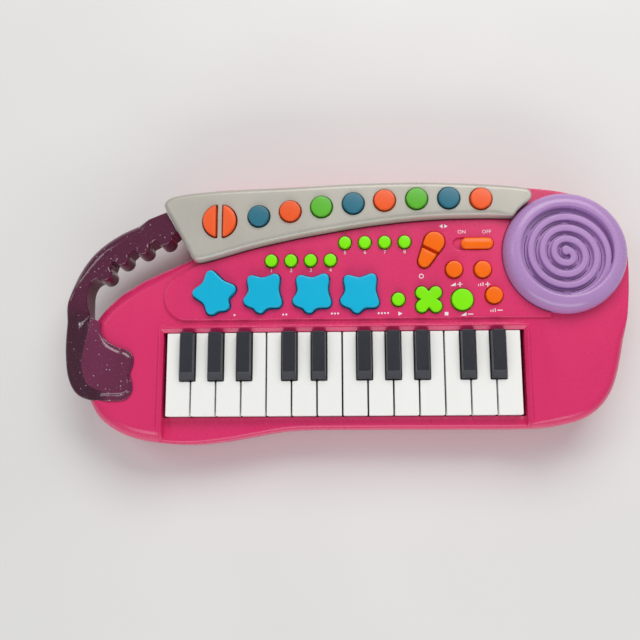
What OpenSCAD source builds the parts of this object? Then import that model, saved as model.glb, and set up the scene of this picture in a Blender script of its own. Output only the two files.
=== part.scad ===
// Toy electronic keyboard: a flat two-part case with two octaves of hinged keys, a raised control panel,
// an arched bar of tone buttons, a round speaker cover with a spiral, and a clear carry handle.
// Millimetres. In the drawing x runs along the keys from the middle of the row, y runs back from the front
// edge of the white keys, and z is up from the surface that the feet stand on.

/* [Keys] */
// Distance between neighbouring white keys
key_pitch = 15.5; // [15.3:0.1:15.5]
// Gap between two white keys
key_gap = 0.8; // [0.6:0.1:1.0]
// Height of the white key tops
key_top = 36; // [35.6:0.1:36.2]
// Height of the black keys above the white ones
black_rise = 5.5; // [4.5:0.5:6.0]
// Width of a black key at its base
black_w = 9.1; // [8.7:0.1:9.2]
// Diameter of the rod that all the keys hinge on
rod_d = 3; // [2.6:0.1:3.0]

/* [Case] */
// Wall thickness of the two shells
wall = 2.2; // [2.0:0.1:2.4]
// Height of the joint between lower and upper shell
split_z = 18; // [17.5:0.5:18.5]
// Height of the raised control panel above the case top
panel_rise = 2; // [1.6:0.2:2.2]
// Height of the arched bar above the case top
arch_rise = 8; // [7.8:0.1:8.4]
// Height of the speaker cover above the case top
cover_rise = 11; // [10.5:0.5:11.5]

/* [Buttons] */
// Radial gap between a button and its hole
button_gap = 0.7; // [0.5:0.05:0.9]
// Radius of the small rhythm buttons
rhythm_r = 3.75; // [3.4:0.05:3.9]
// Radius of the tone buttons on the arched bar
tone_r = 6.4; // [5.8:0.1:6.6]
// Height of the button caps above the panel
cap_rise = 2.8; // [2.2:0.2:3.2]

/* [Hidden] */
$fn = 48;

top_z = 37;                        // flat top of the upper shell
panel_z = top_z + panel_rise;      // top of the control panel
panel_under = panel_z - wall;
arch_z = top_z + arch_rise;
arch_under = arch_z - wall;
lip_z = 29;                        // low lip in front of the keys
floor_z = 2;                       // underside of the lower shell, above the feet
board_z = 20;                      // underside of the circuit board
board_top = board_z + 1.6;
dome_z = board_top + 3;            // top of the rubber contact domes
stem_z = dome_z + 2;               // lower end of the button stems
bay = 7 * key_pitch + 1.9;         // half width of the key bay
rail_y = 51.4;                     // rear edge of the key bay
hinge_y = 57.5;
hinge_z = 31;
cover_c = [136.4, 97.9];           // middle of the speaker cover
cover_r = 37.5;

// ---- curves ----
function knot(a, b, c, d, t) = 0.5 * (2 * b + (c - a) * t + (2 * a - 5 * b + 4 * c - d) * t * t + (3 * b - a - 3 * c + d) * t * t * t);
function spline(p, n) = let (k = len(p)) [for (i = [0:k - 1], s = [0:n - 1]) knot(p[(i + k - 1) % k], p[i], p[(i + 1) % k], p[(i + 2) % k], s / n)];
function normals(p) = let (k = len(p)) [for (i = [0:k - 1]) let (d = p[(i + 1) % k] - p[(i + k - 1) % k]) [d.y, -d.x] / norm(d)];
function inset(p, d) = let (n = normals(p)) [for (i = [0:len(p) - 1]) p[i] - d * n[i]];
function at_z(p, z) = [for (q = p) [q.x, q.y, z]];
function unit(t) = min(1, max(0, t));
function arc(c, r, a, b, n) = [for (i = [0:n]) let (t = a + (b - a) * i / n) c + r * [cos(t), sin(t)]];

// Flat cap of a ring of n points from number a, fanned about the point number c; it faces up if up is true
function fan(a, n, c, up) = [for (i = [0:n - 1]) let (h = (i + 1) % n) up ? [a + h, a + i, c] : [a + i, a + h, c]];
// Point inside the case that sees its whole outline
hub = [-30, 95];
// Solid between stacked outlines that have the same number of points, counter-clockwise from above
module loft(rings) {
    n = len(rings[0]);
    m = len(rings);
    polyhedron(concat([for (r = rings) each r], [[hub.x, hub.y, rings[0][0].z], [hub.x, hub.y, rings[m - 1][0].z]]), concat(
        fan(0, n, m * n, false), fan((m - 1) * n, n, m * n + 1, true),
        [for (j = [0:m - 2], i = [0:n - 1]) let (a = j * n + i, b = j * n + (i + 1) % n) each [[a, a + n, b + n], [a, b + n, b]]]));
}
module slab(p, z0, z1) translate([0, 0, z0]) linear_extrude(z1 - z0) polygon(p);
module block(x0, x1, y0, y1, z0, z1) translate([x0, y0, z0]) cube([x1 - x0, y1 - y0, z1 - z0]);
module post(c, r, z0, z1) translate([c.x, c.y, z0]) cylinder(r = r, h = z1 - z0);
// Moves the drawing so that its origin is under the middle of the whole object
module centred() translate([-1.53, -64.78, 0]) children();

// ---- outline of the case ----
case_points = [
    [-100, -16.5], [-76, -15], [-55, -11.6], [-38, -8.7], [-20, -7.6], [20, -7.5], [70, -7.6], [108, -7.6],
    [132, -6], [150, 0.5], [162, 14], [169, 35], [173.2, 60], [175.4, 83], [175, 103], [168.5, 120], [155.5, 132], [137, 138.3],
    [112, 141.6], [84, 144], [45, 146], [0, 145.5], [-45, 144], [-76, 143], [-92, 140.8], [-102, 136.4], [-106, 128.5], [-103.4, 118.5],
    [-97, 109.5], [-92.6, 103.2], [-94.2, 98.9], [-104, 95.5], [-116, 91.2], [-128, 85.5], [-143, 75.3], [-154, 62.8],
    [-160, 47], [-161.3, 30], [-158, 12], [-148, -3], [-128, -13]];
case_curve = spline(case_points, 3);
// The top edge is rounded wide at the left end and the right front corner, and narrow under the bar and speaker cover
function roll(p) = 0.16 + 0.84 * unit((-72 - p.x) / 32) * unit((105 - p.y) / 14) + 0.6 * unit((p.x - 104) / 24) * unit((58 - p.y) / 14);
function rolled(d, k) = let (n = normals(case_curve)) [for (i = [0:len(case_curve) - 1]) case_curve[i] - (d + k * roll(case_curve[i])) * n[i]];
// Shell of the upper case: the outside from the joint up to the top, and back down the inside
module upper_shell() {
    n = len(case_curve);
    roll_up = [[0, split_z], [0.3, 26], [1.8, 31.5], [4.6, 35.2], [8.5, top_z]];
    roll_down = [[8.5, top_z - wall], [4.6, 33], [1.8, 29.4], [0.3, 24.5], [0, split_z]];
    rings = concat([for (s = roll_up) at_z(rolled(0, s[0]), s[1])], [for (s = roll_down) at_z(rolled(wall, s[0]), s[1])]);
    m = len(roll_up);
    polyhedron(concat([for (r = rings) each r], [[hub.x, hub.y, top_z], [hub.x, hub.y, top_z - wall]]), concat(
        fan((m - 1) * n, n, 2 * m * n, true), fan(m * n, n, 2 * m * n + 1, false),
        [for (j = [0:2 * m - 1], i = [0:n - 1]) if (j != m - 1) let (k = (j + 1) % (2 * m), h = (i + 1) % n) each [[j * n + i, k * n + i, k * n + h], [j * n + i, k * n + h, j * n + h]]]));
}

// ---- outline of the arched bar ----
arch_front = [[-87.8, 95.1], [-84.4, 95.7], [-79.6, 96.9], [-70.4, 99.5], [-53.8, 104.1], [-28.3, 109.7], [-0.6, 114.5], [16.9, 117.1], [40.5, 119.7], [64, 121],
    [87.4, 121.1], [100, 120.8]];
arch_points = concat([[-97.4, 106], [-94.4, 100.7], [-92.7, 97.6], [-90.6, 95.6]], arch_front, arc(cover_c, cover_r + 0.9, 143.5, 122, 4),
    [[117.4, 133.4], [116.4, 137.2], [112, 139.4], [100, 141], [75, 142.8], [46.8, 143.9], [7.7, 143.6], [-31, 142], [-70, 140.8], [-93, 139.2],
     [-105, 137.2], [-110.4, 133.8], [-110.4, 129.5], [-105.6, 121]]);
arch_curve = spline(arch_points, 3);

// ---- outline of the raised panel, up to the front edge of the bar ----
panel_points = concat(
    arc([-95.5, 73.5], 15, 270, 130, 12), [[-99, 88.2], [-94, 91.4]],
    [for (p = arch_front) p - [0, 0.9]], arc(cover_c, cover_r + 0.4, 145, 262, 12), [[126, 58.5]]);
panel_curve = [for (i = [len(panel_points) - 1:-1:0]) panel_points[i]];

// ---- places of the controls ----
tone_places = [[-50.9, 122.6], [-31.4, 125.4], [-12, 128], [7.7, 129.9], [27, 131.5], [46.8, 132.2], [66.5, 132.3], [86.1, 131.5]];
tone_colours = ["steelblue", "orangered", "limegreen", "steelblue", "orangered", "limegreen", "steelblue", "orangered"];
record_c = [-75.3, 119.9];
lower_row = [for (i = [0:3]) [-43.4 + 12.2 * i, 95.4]];
upper_row = [for (i = [0:3]) [2.3 + 12.27 * i, 106.3]];
star_places = [[-78.2, 74.7], [-48.2, 74.6], [-17.9, 74.3], [11.3, 74]];
stop_c = [53.1, 69.85];
demo_c = [34.6, 70.1];
volume_up_c = [69, 88.5];
volume_down_c = [73.4, 69.5];
tempo_up_c = [86.4, 88.2];
tempo_down_c = [92.7, 72.1];
slider_c = [83.5, 104.8];
slider_len = 19.8;
slider_w = 6.9;
slider_travel = 4.2;
mode_c = [54.75, 100.95];          // middle of the gap between the two halves of the egg-shaped rocker
mode_turn = -27.5;

// The two star shapes, as [angle, radius] of each tip and of the valley after it
star_a = [[16, 13.2, 58, 9.9], [103, 14.8, 139, 10.4], [177, 13.6, 220, 9.2], [258, 13.1, 284, 11.1], [311, 12.6, 341, 9.3]];
star_b = [[-34, 13.2, 10, 9.8], [52, 14.4, 90, 9.9], [130, 13.7, 170, 9.3], [206, 13.1, 236, 11], [258, 12.4, 289, 9.6]];
function star(tips, grow) = inset(spline([for (t = tips)
    each [t[1] * 0.975 * [cos(t[0] - 8), sin(t[0] - 8)], t[1] * 0.975 * [cos(t[0] + 8), sin(t[0] + 8)], t[3] * [cos(t[2]), sin(t[2])]]], 4), -grow);
function star_of(i, grow) = star(i == 0 ? star_a : star_b, grow);
// Egg outline: a large round end at +y and a small one at -y, measured from the gap
function egg(grow) = let (r1 = 6.85, r2 = 4.5, c1 = [0, 5.8], c2 = [0, -7.9], t = asin((r1 - r2) / 13.7))
    concat(arc(c1, r1 + grow, -t, 180 + t, 24), arc(c2, r2 + grow, 180 + t, 360 - t, 18));

// ---- keys ----
black_after = [0, 1, 2, 4, 5, 7, 8, 9, 11, 12];
black_shift = [-2, 0, 2, -1.3, 1.3, -2, 0, 2, -1.3, 1.3];
function white_x(i) = (i - 7) * key_pitch;
function black_x(k) = white_x(black_after[k] + 1) + black_shift[k];
function black_right_of(i) = [for (k = [0:9]) if (black_after[k] == i) black_x(k)];
clear_x = black_w / 2 + 0.5;
function tail_left(i) = len(black_right_of(i - 1)) > 0 ? black_right_of(i - 1)[0] + clear_x : white_x(i) + key_gap / 2;
function tail_right(i) = len(black_right_of(i)) > 0 ? black_right_of(i)[0] - clear_x : white_x(i + 1) - key_gap / 2;
black_front = 21.6;
white_press_y = 30;
black_press_y = 38;

module across(x0, x1, p) translate([x0, 0, 0]) rotate([90, 0, 90]) linear_extrude(x1 - x0) polygon(p);
tail_side = [[20, 30], [51, 30], [53, 28.8], [60, 28.8], [60, 33], [51, 33], [51, key_top], [20, key_top]];
module hinge_bore() translate([-150, hinge_y, hinge_z]) rotate([0, 90, 0]) cylinder(d = rod_d + 0.1, h = 300);
module white_key(i) color("white") centred() {
    x0 = white_x(i) + key_gap / 2;
    x1 = white_x(i + 1) - key_gap / 2;
    difference() {
        union() {
            difference() {
                block(x0, x1, 0, black_front - 0.5, 27, key_top);
                block(x0 + 1.5, x1 - 1.5, 1.6, black_front - 1.8, 26, key_top - 1.8);
            }
            across(tail_left(i), tail_right(i), tail_side);
            post([(tail_left(i) + tail_right(i)) / 2, white_press_y], 1.6, 27, 31);
        }
        hinge_bore();
    }
}
black_side = [[black_front, 30], [51, 30], [53, 28.8], [60, 28.8], [60, 33], [51, 33], [51, key_top + black_rise],
    [black_front + 4.8, key_top + black_rise], [black_front + 0.4, key_top + 1.4], [black_front, key_top + 0.4]];
module black_key(k) color([0.2, 0.2, 0.25]) centred() difference() {
    union() {
        intersection() {
            across(black_x(k) - black_w / 2, black_x(k) + black_w / 2, black_side);
            translate([black_x(k), 70, 0]) rotate([90, 0, 0]) linear_extrude(60) polygon([[-black_w / 2, 20], [black_w / 2, 20],
                [black_w / 2, key_top], [black_w / 2 - 0.8, key_top + black_rise], [-black_w / 2 + 0.8, key_top + black_rise], [-black_w / 2, key_top]]);
        }
        post([black_x(k), black_press_y], 1.6, 27.3, 31);
    }
    hinge_bore();
}
module key_rod() color("silver") centred() translate([-bay - 3.5, hinge_y, hinge_z]) rotate([0, 90, 0]) cylinder(d = rod_d, h = 2 * bay + 7);

// ---- buttons ----
// Turned cap with a rounded edge, a flange under its panel and a stem
module cap(c, r, under, cap_top) translate(c) rotate_extrude() polygon(concat(
    [[0, stem_z], [1.7, stem_z], [1.7, under - 1.6], [r + 1.2, under - 1.6], [r + 1.2, under - 0.4], [r, under - 0.4], [r, cap_top - 1]],
    [for (a = [18:18:90]) [r - 1 + cos(a), cap_top - 1 + sin(a)]], [[0, cap_top]]));
module panel_cap(c, r) cap(c, r, panel_under, panel_z + cap_rise);
module tone_button(i) color(tone_colours[i]) centred() cap(tone_places[i], tone_r, arch_under, arch_z + 2.6);
module volume_up_button() color("darkorange") centred() panel_cap(volume_up_c, 5.05);
module volume_down_button() color("lawngreen") centred() panel_cap(volume_down_c, 6.5);
module tempo_up_button() color("darkorange") centred() panel_cap(tempo_up_c, 5.05);
module tempo_down_button() color("darkorange") centred() panel_cap(tempo_down_c, 5.1);
module demo_button() color("lawngreen") centred() panel_cap(demo_c, 3.95);
// Four rhythm caps moulded on one thin strip
module rhythm_strip(row) color("lawngreen") centred() {
    for (c = row) panel_cap(c, rhythm_r);
    block(row[0].x, row[3].x, row[0].y - 2.2, row[0].y + 2.2, panel_under - 1.6, panel_under - 0.6);
}
module star_pad(i) color("deepskyblue") centred() translate(star_places[i]) {
    slab(star_of(i, 1.4), panel_under - 1.6, panel_under - 0.4);
    slab(star_of(i, 0), panel_under - 1, panel_z + 3.2);
    slab(star_of(i, -0.7), panel_z + 3, panel_z + 3.9);
    post([0, 0], 2.2, stem_z + 0.5, panel_under - 1);
}
// Clover: four round leaves about the middle
module leaves(r, z0, z1) {
    for (a = [-1, 1], b = [-1, 1]) post([4.2 * a, 4.2 * b], r, z0, z1);
    translate([0, 0, (z0 + z1) / 2]) cube([8.4, 8.4, z1 - z0], center = true);
}
module stop_button() color("lawngreen") centred() translate(stop_c) {
    leaves(3.75, panel_under - 1, panel_z + 2.2);
    leaves(3.15, panel_z + 2, panel_z + cap_rise);
    leaves(5.05, panel_under - 1.6, panel_under - 0.4);
    post([0, 0], 2, stem_z, panel_under - 1);
}
// Pill-shaped power knob, drawn at OFF
module pill(len, w, z0, z1) {
    for (s = [-1, 1]) post([s * (len - w) / 2, 0], w / 2, z0, z1);
    block(-(len - w) / 2, (len - w) / 2, -w / 2, w / 2, z0, z1);
}
module power_slider() color("darkorange") centred() translate(slider_c) {
    pill(slider_len, slider_w, panel_z - 0.9, panel_z + 2.4);
    pill(slider_len - 1.2, slider_w - 1.2, panel_z + 2, panel_z + 3);
    block(-3, 3, -1.2, 1.2, stem_z - 1.4, panel_z);
    block(-4.5, 4.5, -3, 3, panel_under - 1.8, panel_under - 0.4);
}
// Two half-round caps on one rocking plate, with its pivot along y
module record_rocker() color("orangered") centred() translate(record_c) {
    difference() {
        union() {
            post([0, 0], 10.3, 41, arch_z + 1.6);
            post([0, 0], 9.7, arch_z + 1.4, arch_z + 2.4);
        }
        block(-2.2, 2.2, -12, 12, 41.4, 60);
    }
    post([0, 0], 9.6, 39.4, 41.6);
    translate([0, 13, 40.4]) rotate([90, 0, 0]) cylinder(r = 1.3, h = 26);
    for (s = [-6, 6]) post([s, 0], 1.6, stem_z + 0.4, 40);
}
// Egg-shaped cap in two halves on one rocking plate, with its pivot along the gap
module mode_rocker() color("darkorange") centred() translate(mode_c) rotate([0, 0, mode_turn]) {
    difference() {
        union() {
            slab(egg(-0.6), 35.4, panel_z + 1.8);
            slab(egg(-1.2), panel_z + 1.6, panel_z + 2.6);
        }
        block(-12, 12, -0.95, 0.95, panel_z - 2.6, 60);
    }
    slab(egg(-1.6), 33.6, 35.6);
    translate([-9.6, 0, 34.6]) rotate([0, 90, 0]) cylinder(r = 1.2, h = 19.2);
    for (s = [-8, 6]) post([0, s], 1.4, stem_z + 0.4, 34);
}

// ---- shells ----
bosses = [[-150, 22], [-126, 56], [-121, 0], [121, 1], [153, 48], [-96, 127], [-10, 139.4], [104, 137.6]];
board_posts = [[-101, 20], [101, 20], [-78, 127], [88, 118]];
arch_pegs = [[-97, 118], [-40, 114.6], [56, 125], [102, 131]];
cover_pegs = [for (a = [80, 200, 320]) cover_c + 33.6 * [cos(a), sin(a)]];
module bay_block(z0, z1) block(-bay, bay, -40, rail_y, z0, z1);
module upper_case() color([0.86, 0.2, 0.42]) centred() difference() {
    union() {
        difference() {
            union() {
                difference() {
                    upper_shell();
                    bay_block(lip_z, 60);
                }
                translate([0, 0, lip_z - wall]) linear_extrude(wall) intersection() {
                    polygon(inset(case_curve, 1.2));
                    translate([-bay - wall, -30]) square([2 * (bay + wall), 29.2]);
                }
                across(-bay - wall, -bay, [[-13.4, 23], [rail_y + 2, 23], [rail_y + 2, top_z - 0.6], [-7, top_z - 0.6], [-9.6, 35], [-11.8, 33], [-13, 30]]);
                across(bay, bay + wall, [[-5.8, 23], [rail_y + 2, 23], [rail_y + 2, top_z - 0.6], [-4.4, top_z - 0.6], [-5.8, 31]]);
                slab(panel_curve, top_z - 1, panel_z);
                block(-bay - 3, bay + 3, rail_y, rail_y + 4, top_z - wall, top_z + 0.6);
                for (s = [-1, 1]) translate([s * (bay + 1.5), 0, 0]) block(-1.5, 1.5, -4, rail_y + 4, top_z - wall, top_z + 0.6);
            }
            slab(inset(panel_curve, 1.4), top_z - wall - 1, panel_under);
        }
        for (c = bosses) post(c, 3.4, split_z, top_z - wall / 2);
        for (s = [-1, 1]) translate([s * (bay + 2.8), hinge_y, 0]) block(-2.8, 2.8, -4, 4, 27.5, top_z - wall / 2);
        translate(mode_c) rotate([0, 0, mode_turn]) for (s = [-1, 1]) translate([s * 8.8, 0, 0]) block(-1, 1, -2.6, 2.6, 32, panel_under + 0.5);
    }
    // key hinge, mode pivot, boss and peg holes
    translate([-bay - 4, hinge_y, hinge_z]) rotate([0, 90, 0]) cylinder(d = rod_d + 0.1, h = 2 * bay + 8);
    translate(mode_c) rotate([0, 0, mode_turn]) translate([-11, 0, 34.6]) rotate([0, 90, 0]) cylinder(r = 1.25, h = 22);
    for (c = bosses) post(c, 1.5, split_z - 1, split_z + 14);
    for (c = arch_pegs) post(c, 1.9, 30, 50);
    for (c = cover_pegs) post(c, 1.9, 30, 50);
    for (c = tone_places) post(c, 2.6, 30, 50);
    for (s = [-6, 6]) post(record_c + [s, 0], 3.2, 30, 50);
    post(cover_c, 24, 30, 50);
    // openings in the panel
    for (c = concat(lower_row, upper_row)) post(c, rhythm_r + button_gap, 36, 60);
    for (c = [volume_up_c, tempo_up_c]) post(c, 5.05 + button_gap, 36, 60);
    post(tempo_down_c, 5.1 + button_gap, 36, 60);
    post(volume_down_c, 6.5 + button_gap, 36, 60);
    post(demo_c, 3.95 + button_gap, 36, 60);
    translate(stop_c) leaves(3.75 + button_gap, 36, 60);
    for (i = [0:3]) translate(star_places[i]) slab(star_of(i, button_gap), 36, 60);
    translate(mode_c) rotate([0, 0, mode_turn]) slab(egg(0.1), 36, 60);
    translate(slider_c + [-slider_travel / 2, 0]) pill(slider_len + slider_travel + 1, slider_w + 1, panel_z - 1.4, 60);
    translate(slider_c) block(-3.4 - slider_travel, 3.4, -1.6, 1.6, 30, 60);
    // sockets for the handle's spigots
    translate([-120, 124, 28]) rotate([0, 90, 0]) cylinder(r = 3.2, h = 19.6);
    translate([-170, 34, 26]) rotate([0, 90, 0]) cylinder(r = 3.2, h = 22);
}
cell_y = [92.3, 108, 123.7];
module lower_case() color([0.8, 0.16, 0.38]) centred() difference() {
    union() {
        difference() {
            loft([for (s = [[3, floor_z], [1.2, 2.8], [0.3, 4.4], [0, 6.5], [0, split_z]]) at_z(inset(case_curve, s[0]), s[1])]);
            slab(inset(case_curve, wall), floor_z + wall, split_z + 1);
        }
        for (c = bosses) post(c, 3.6, floor_z + 1, split_z);
        for (c = board_posts) post(c, 3, floor_z + 1, board_z);
        difference() {
            block(16, 76, 82, 134, floor_z + 1, 19.4);
            block(18, 74, 84, 132, floor_z - 1, 20);
        }
        for (c = [[-138, 16], [140, 16], [-84, 128], [146, 122]]) post(c, 6.5, 0, floor_z + 1);
    }
    for (c = bosses) {
        post(c, 1.7, -1, split_z + 1);
        post(c, 3.3, -1, 6);
    }
    for (c = board_posts) post(c, 1.1, 11, board_z + 1);
    block(18, 74, 84, 132, -1, 5);
    block(14.5, 77.5, 80.5, 135.5, -1, 3);
}
module battery_cover() color([0.8, 0.16, 0.38]) centred() difference() {
    union() {
        block(14.9, 77.1, 80.9, 135.1, floor_z, 2.9);
        block(18.4, 73.6, 84.4, 131.6, floor_z + 0.5, 4);
    }
    for (y = [86:3:96]) block(38, 54, y, y + 1.4, 1, floor_z + 0.5);
}
module arch_panel() color([0.76, 0.75, 0.72]) centred() difference() {
    union() {
        difference() {
            union() {
                slab(arch_curve, top_z, arch_z - 2.4);
                slab(inset(arch_curve, 0.7), arch_z - 2.6, arch_z - 1);
                slab(inset(arch_curve, 2), arch_z - 1.2, arch_z);
            }
            slab(inset(arch_curve, 2.3), top_z - 1, arch_under);
        }
        translate(record_c) for (s = [-12.2, 12.2]) translate([0, s, 0]) block(-3, 3, -1, 1, 38, arch_under + 0.5);
        for (c = arch_pegs) post(c, 1.5, top_z - 4, arch_under + 0.5);
    }
    for (c = tone_places) post(c, tone_r + button_gap, top_z + 1, 60);
    translate(record_c) difference() {
        post([0, 0], 11, arch_under - 0.2, 60);
        block(-1.4, 1.4, -12, 12, 30, 60);
    }
    translate(concat(record_c, [40.4])) translate([0, 14, 0]) rotate([90, 0, 0]) cylinder(r = 1.35, h = 28);
}
// Spiral of half rings: the left halves are about the middle of the cover, the right halves about a point half a turn lower
coil_pitch = 6.95;
function coil_point(a, off) = let (m = floor((a + 90) / 180))
    (m % 2 == 0 ? [0, -coil_pitch / 2] : [0, 0]) + (21.4 + (1 - m) * coil_pitch / 2 + off) * [cos(a), sin(a)];
function coil_band(a0, a1, off, w) = let (n = round((a1 - a0) / 10)) concat(
    [for (i = [0:n]) coil_point(a0 + (a1 - a0) * i / n, off + w / 2)], [for (i = [n:-1:0]) coil_point(a0 + (a1 - a0) * i / n, off - w / 2)]);
module speaker_grille() color([0.72, 0.56, 0.8]) centred() translate(cover_c) {
    h = top_z + cover_rise;
    difference() {
        union() {
            rotate_extrude($fn = 96) polygon([[0, h - 7.4], [29, h - 7.4], [29.6, h - 5], [30.4, h - 2.9], [31.6, h - 2.5], [33.2, h - 3.6], [34.9, h - 7], [35.4, top_z],
                [37.5, top_z], [37.4, h - 8], [36.9, h - 5.6], [36, h - 3.7], [34.8, h - 2.2], [33.2, h - 1], [31.5, h - 0.3], [29.8, h], [28.4, h - 0.2], [27.6, h - 0.9], [27.6, h - 5.6], [0, h - 5.6]]);
            slab(coil_band(-80, 1170, 0, 3.6), h - 6, h - 2.6);
            post([0, 0.5], 2.7, h - 6, h - 2.6);
        }
        for (a = [-265:60:935]) slab(coil_band(a, a + 50, -coil_pitch / 2, 0.4), h - 8, h - 5);
    }
    for (a = [80, 200, 320]) post(33.6 * [cos(a), sin(a)], 1.5, top_z - 4, h - 4);
}
// Handle: clear bar with finger lobes on its inner edge, and a pad that wraps over the left end of the case
handle_points = concat([[-104, 114.6]],
    arc([-111.3, 111.7], 5.2, 12, -158, 7), [[-118.3, 108.5]], arc([-125.4, 105.7], 5.2, 18, -158, 7), [[-131.8, 102.3]],
    arc([-138.4, 99.2], 5.2, 18, -155, 7), [[-144.1, 94.8]], arc([-149, 89.2], 5.2, 40, -135, 7), [[-156.6, 82.6], [-158.6, 76], [-158, 66], [-156, 60.6],
    [-150.4, 58.4], [-148.9, 51.3], [-144.8, 46.3], [-137.8, 42.4], [-132.1, 40.6], [-128.6, 36.8], [-128.3, 31.2], [-129.9, 25.7],
    [-128.4, 19.6], [-128.6, 14.4], [-131.8, 10.6], [-137, 9.4], [-147.5, 9.6], [-157, 10.6], [-165, 15], [-170.2, 25], [-172.4, 40],
    [-172.4, 56], [-171, 72], [-166, 88], [-156, 103], [-142, 114], [-126, 121.6], [-112, 127.4], [-103, 130], [-99, 124]]);
handle_curve = [for (p = spline(handle_points, 3)) p];
handle_ccw = [for (i = [len(handle_curve) - 1:-1:0]) handle_curve[i]];
module carry_handle() color([0.4, 0.16, 0.36]) centred() {
    difference() {
        union() {
            translate([0, 0, 22]) linear_extrude(16) difference() {
                polygon(handle_ccw);
                polygon(inset(case_curve, -0.3));
            }
            slab(handle_ccw, top_z + 0.3, top_z + 2.4);
            slab(inset(handle_ccw, 1.1), top_z + 2.2, top_z + 3.4);
        }
        slab(inset(arch_curve, -0.4), top_z - 0.5, 60);
    }
    translate([-116, 124, 28]) rotate([0, 90, 0]) cylinder(r = 3, h = 15);
    translate([-168, 34, 26]) rotate([0, 90, 0]) cylinder(r = 3, h = 18);
}

// ---- inside ----
board_points = [[-108, 14], [108, 14], [108, 50], [104, 58], [97, 72], [97, 134], [93, 135.4], [-70, 135.4], [-86, 122], [-84, 103], [-106, 84]];
module main_board() color([0.35, 0.24, 0.1]) centred() difference() {
    union() {
        slab(board_points, board_z, board_top);
        post([-40, 86], 6, board_z - 1.6, board_z + 0.1);
        block(-20, -8, 70, 78, board_z - 2.4, board_z + 0.1);
        for (p = [[-52, 108], [4, 98]]) post(p, 3.2, board_z - 9, board_z + 0.1);
        translate(slider_c) block(-9, 6, -4, 4, board_top - 0.1, board_top + 2.2);
    }
    for (c = board_posts) post(c, 1.4, 10, 30);
}
mat_points = [[-95, 62], [95, 62], [95, 110.5], [96, 134], [-70, 134], [-84, 121.5], [-84, 105], [-95, 93]];
module dome(c, r) post(c, r, board_top + 0.5, dome_z);
module contact_mats() color([0.3, 0.3, 0.32]) centred() {
    difference() {
        union() {
            slab(mat_points, board_top, board_top + 1);
            for (c = concat(lower_row, upper_row, star_places, [stop_c, demo_c, volume_up_c, volume_down_c, tempo_up_c, tempo_down_c])) dome(c, 2.2);
            for (c = tone_places) dome(c, 1.6);
            for (s = [-6, 6]) dome(record_c + [s, 0], 1.8);
            for (s = [-8, 6]) dome(mode_c + s * [-sin(mode_turn), cos(mode_turn)], 1.8);
        }
        translate(slider_c) block(-9.6, 6.6, -4.6, 4.6, 20, 40);
        for (c = board_posts) post(c, 3, 20, 40);
    }
    slab([[-107, 25], [107, 25], [107, 42], [-107, 42]], board_top, board_top + 1);
    for (i = [0:13]) dome([(tail_left(i) + tail_right(i)) / 2, white_press_y], 2.2);
    for (k = [0:9]) dome([black_x(k), black_press_y], 2.2);
}
module speaker_driver() color([0.25, 0.25, 0.26]) centred() translate(cover_c) rotate_extrude($fn = 72) polygon([[0, 12], [16, 12], [16, 21],
    [20, 21], [27, 32], [29, 33], [29, 34.7], [25.4, 34.7], [23, 33.2], [9, 27], [7.4, 28.4], [4, 29.6], [0, 30]]);
module batteries() color([0.15, 0.15, 0.16]) centred() for (i = [0:2]) translate([i == 1 ? 71.1 : 20.9, cell_y[i], 11.6]) mirror([i == 1 ? 1 : 0, 0, 0]) rotate([0, 90, 0]) {
    cylinder(d = 14.2, h = 49.2);
    cylinder(d = 5.2, h = 50.4);
}
// Cone spring as touching rings, on a plate
module cone_spring() {
    translate([0.2, 0, 0]) cube([0.4, 9, 9], center = true);
    for (i = [0:3]) translate([0.55 + 0.6 * i, 0, 0]) rotate([0, 90, 0]) rotate_extrude() translate([3.6 - 0.35 * i, 0]) circle(r = 0.42, $fn = 16);
}
// Pressed plate with a button that meets the end of the cell
module flat_contact() {
    translate([0.2, 0, 0]) cube([0.4, 9, 9], center = true);
    rotate([0, 90, 0]) cylinder(r = 2.6, h = 2.4);
}
module battery_contacts() color("silver") centred() for (i = [0:2], m = [0, 1]) translate([m == 1 ? 73.9 : 18.1, cell_y[i], 11.6]) mirror([m, 0, 0])
    if ((i == 1) == (m == 1)) cone_spring(); else flat_contact();
module screw(c, z, head_r, shank_r, len) translate([c.x, c.y, z]) {
    difference() {
        cylinder(r = head_r, h = 2);
        translate([0, 0, 0.4]) cube([head_r * 1.3, 0.9, 1.2], center = true);
        translate([0, 0, 0.4]) cube([0.9, head_r * 1.3, 1.2], center = true);
    }
    translate([0, 0, 1.9]) cylinder(r = shank_r, h = len);
}
module screws() color("silver") centred() {
    for (c = bosses) screw(c, 3.9, 2.9, 1.4, 22);
    for (c = board_posts) translate([0, 0, board_top + 2.05]) mirror([0, 0, 1]) screw(c, 0, 2.4, 1, 8);
}

upper_case();
lower_case();
arch_panel();
speaker_grille();
carry_handle();
main_board();
contact_mats();
speaker_driver();
battery_cover();
batteries();
battery_contacts();
screws();
key_rod();
white_key(0);  // white_key_01
white_key(1);  // white_key_02
white_key(2);  // white_key_03
white_key(3);  // white_key_04
white_key(4);  // white_key_05
white_key(5);  // white_key_06
white_key(6);  // white_key_07
white_key(7);  // white_key_08
white_key(8);  // white_key_09
white_key(9);  // white_key_10
white_key(10);  // white_key_11
white_key(11);  // white_key_12
white_key(12);  // white_key_13
white_key(13);  // white_key_14
black_key(0);  // black_key_01
black_key(1);  // black_key_02
black_key(2);  // black_key_03
black_key(3);  // black_key_04
black_key(4);  // black_key_05
black_key(5);  // black_key_06
black_key(6);  // black_key_07
black_key(7);  // black_key_08
black_key(8);  // black_key_09
black_key(9);  // black_key_10
star_pad(0);  // star_pad_1
star_pad(1);  // star_pad_2
star_pad(2);  // star_pad_3
star_pad(3);  // star_pad_4
rhythm_strip(lower_row);  // rhythm_strip_lower
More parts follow.
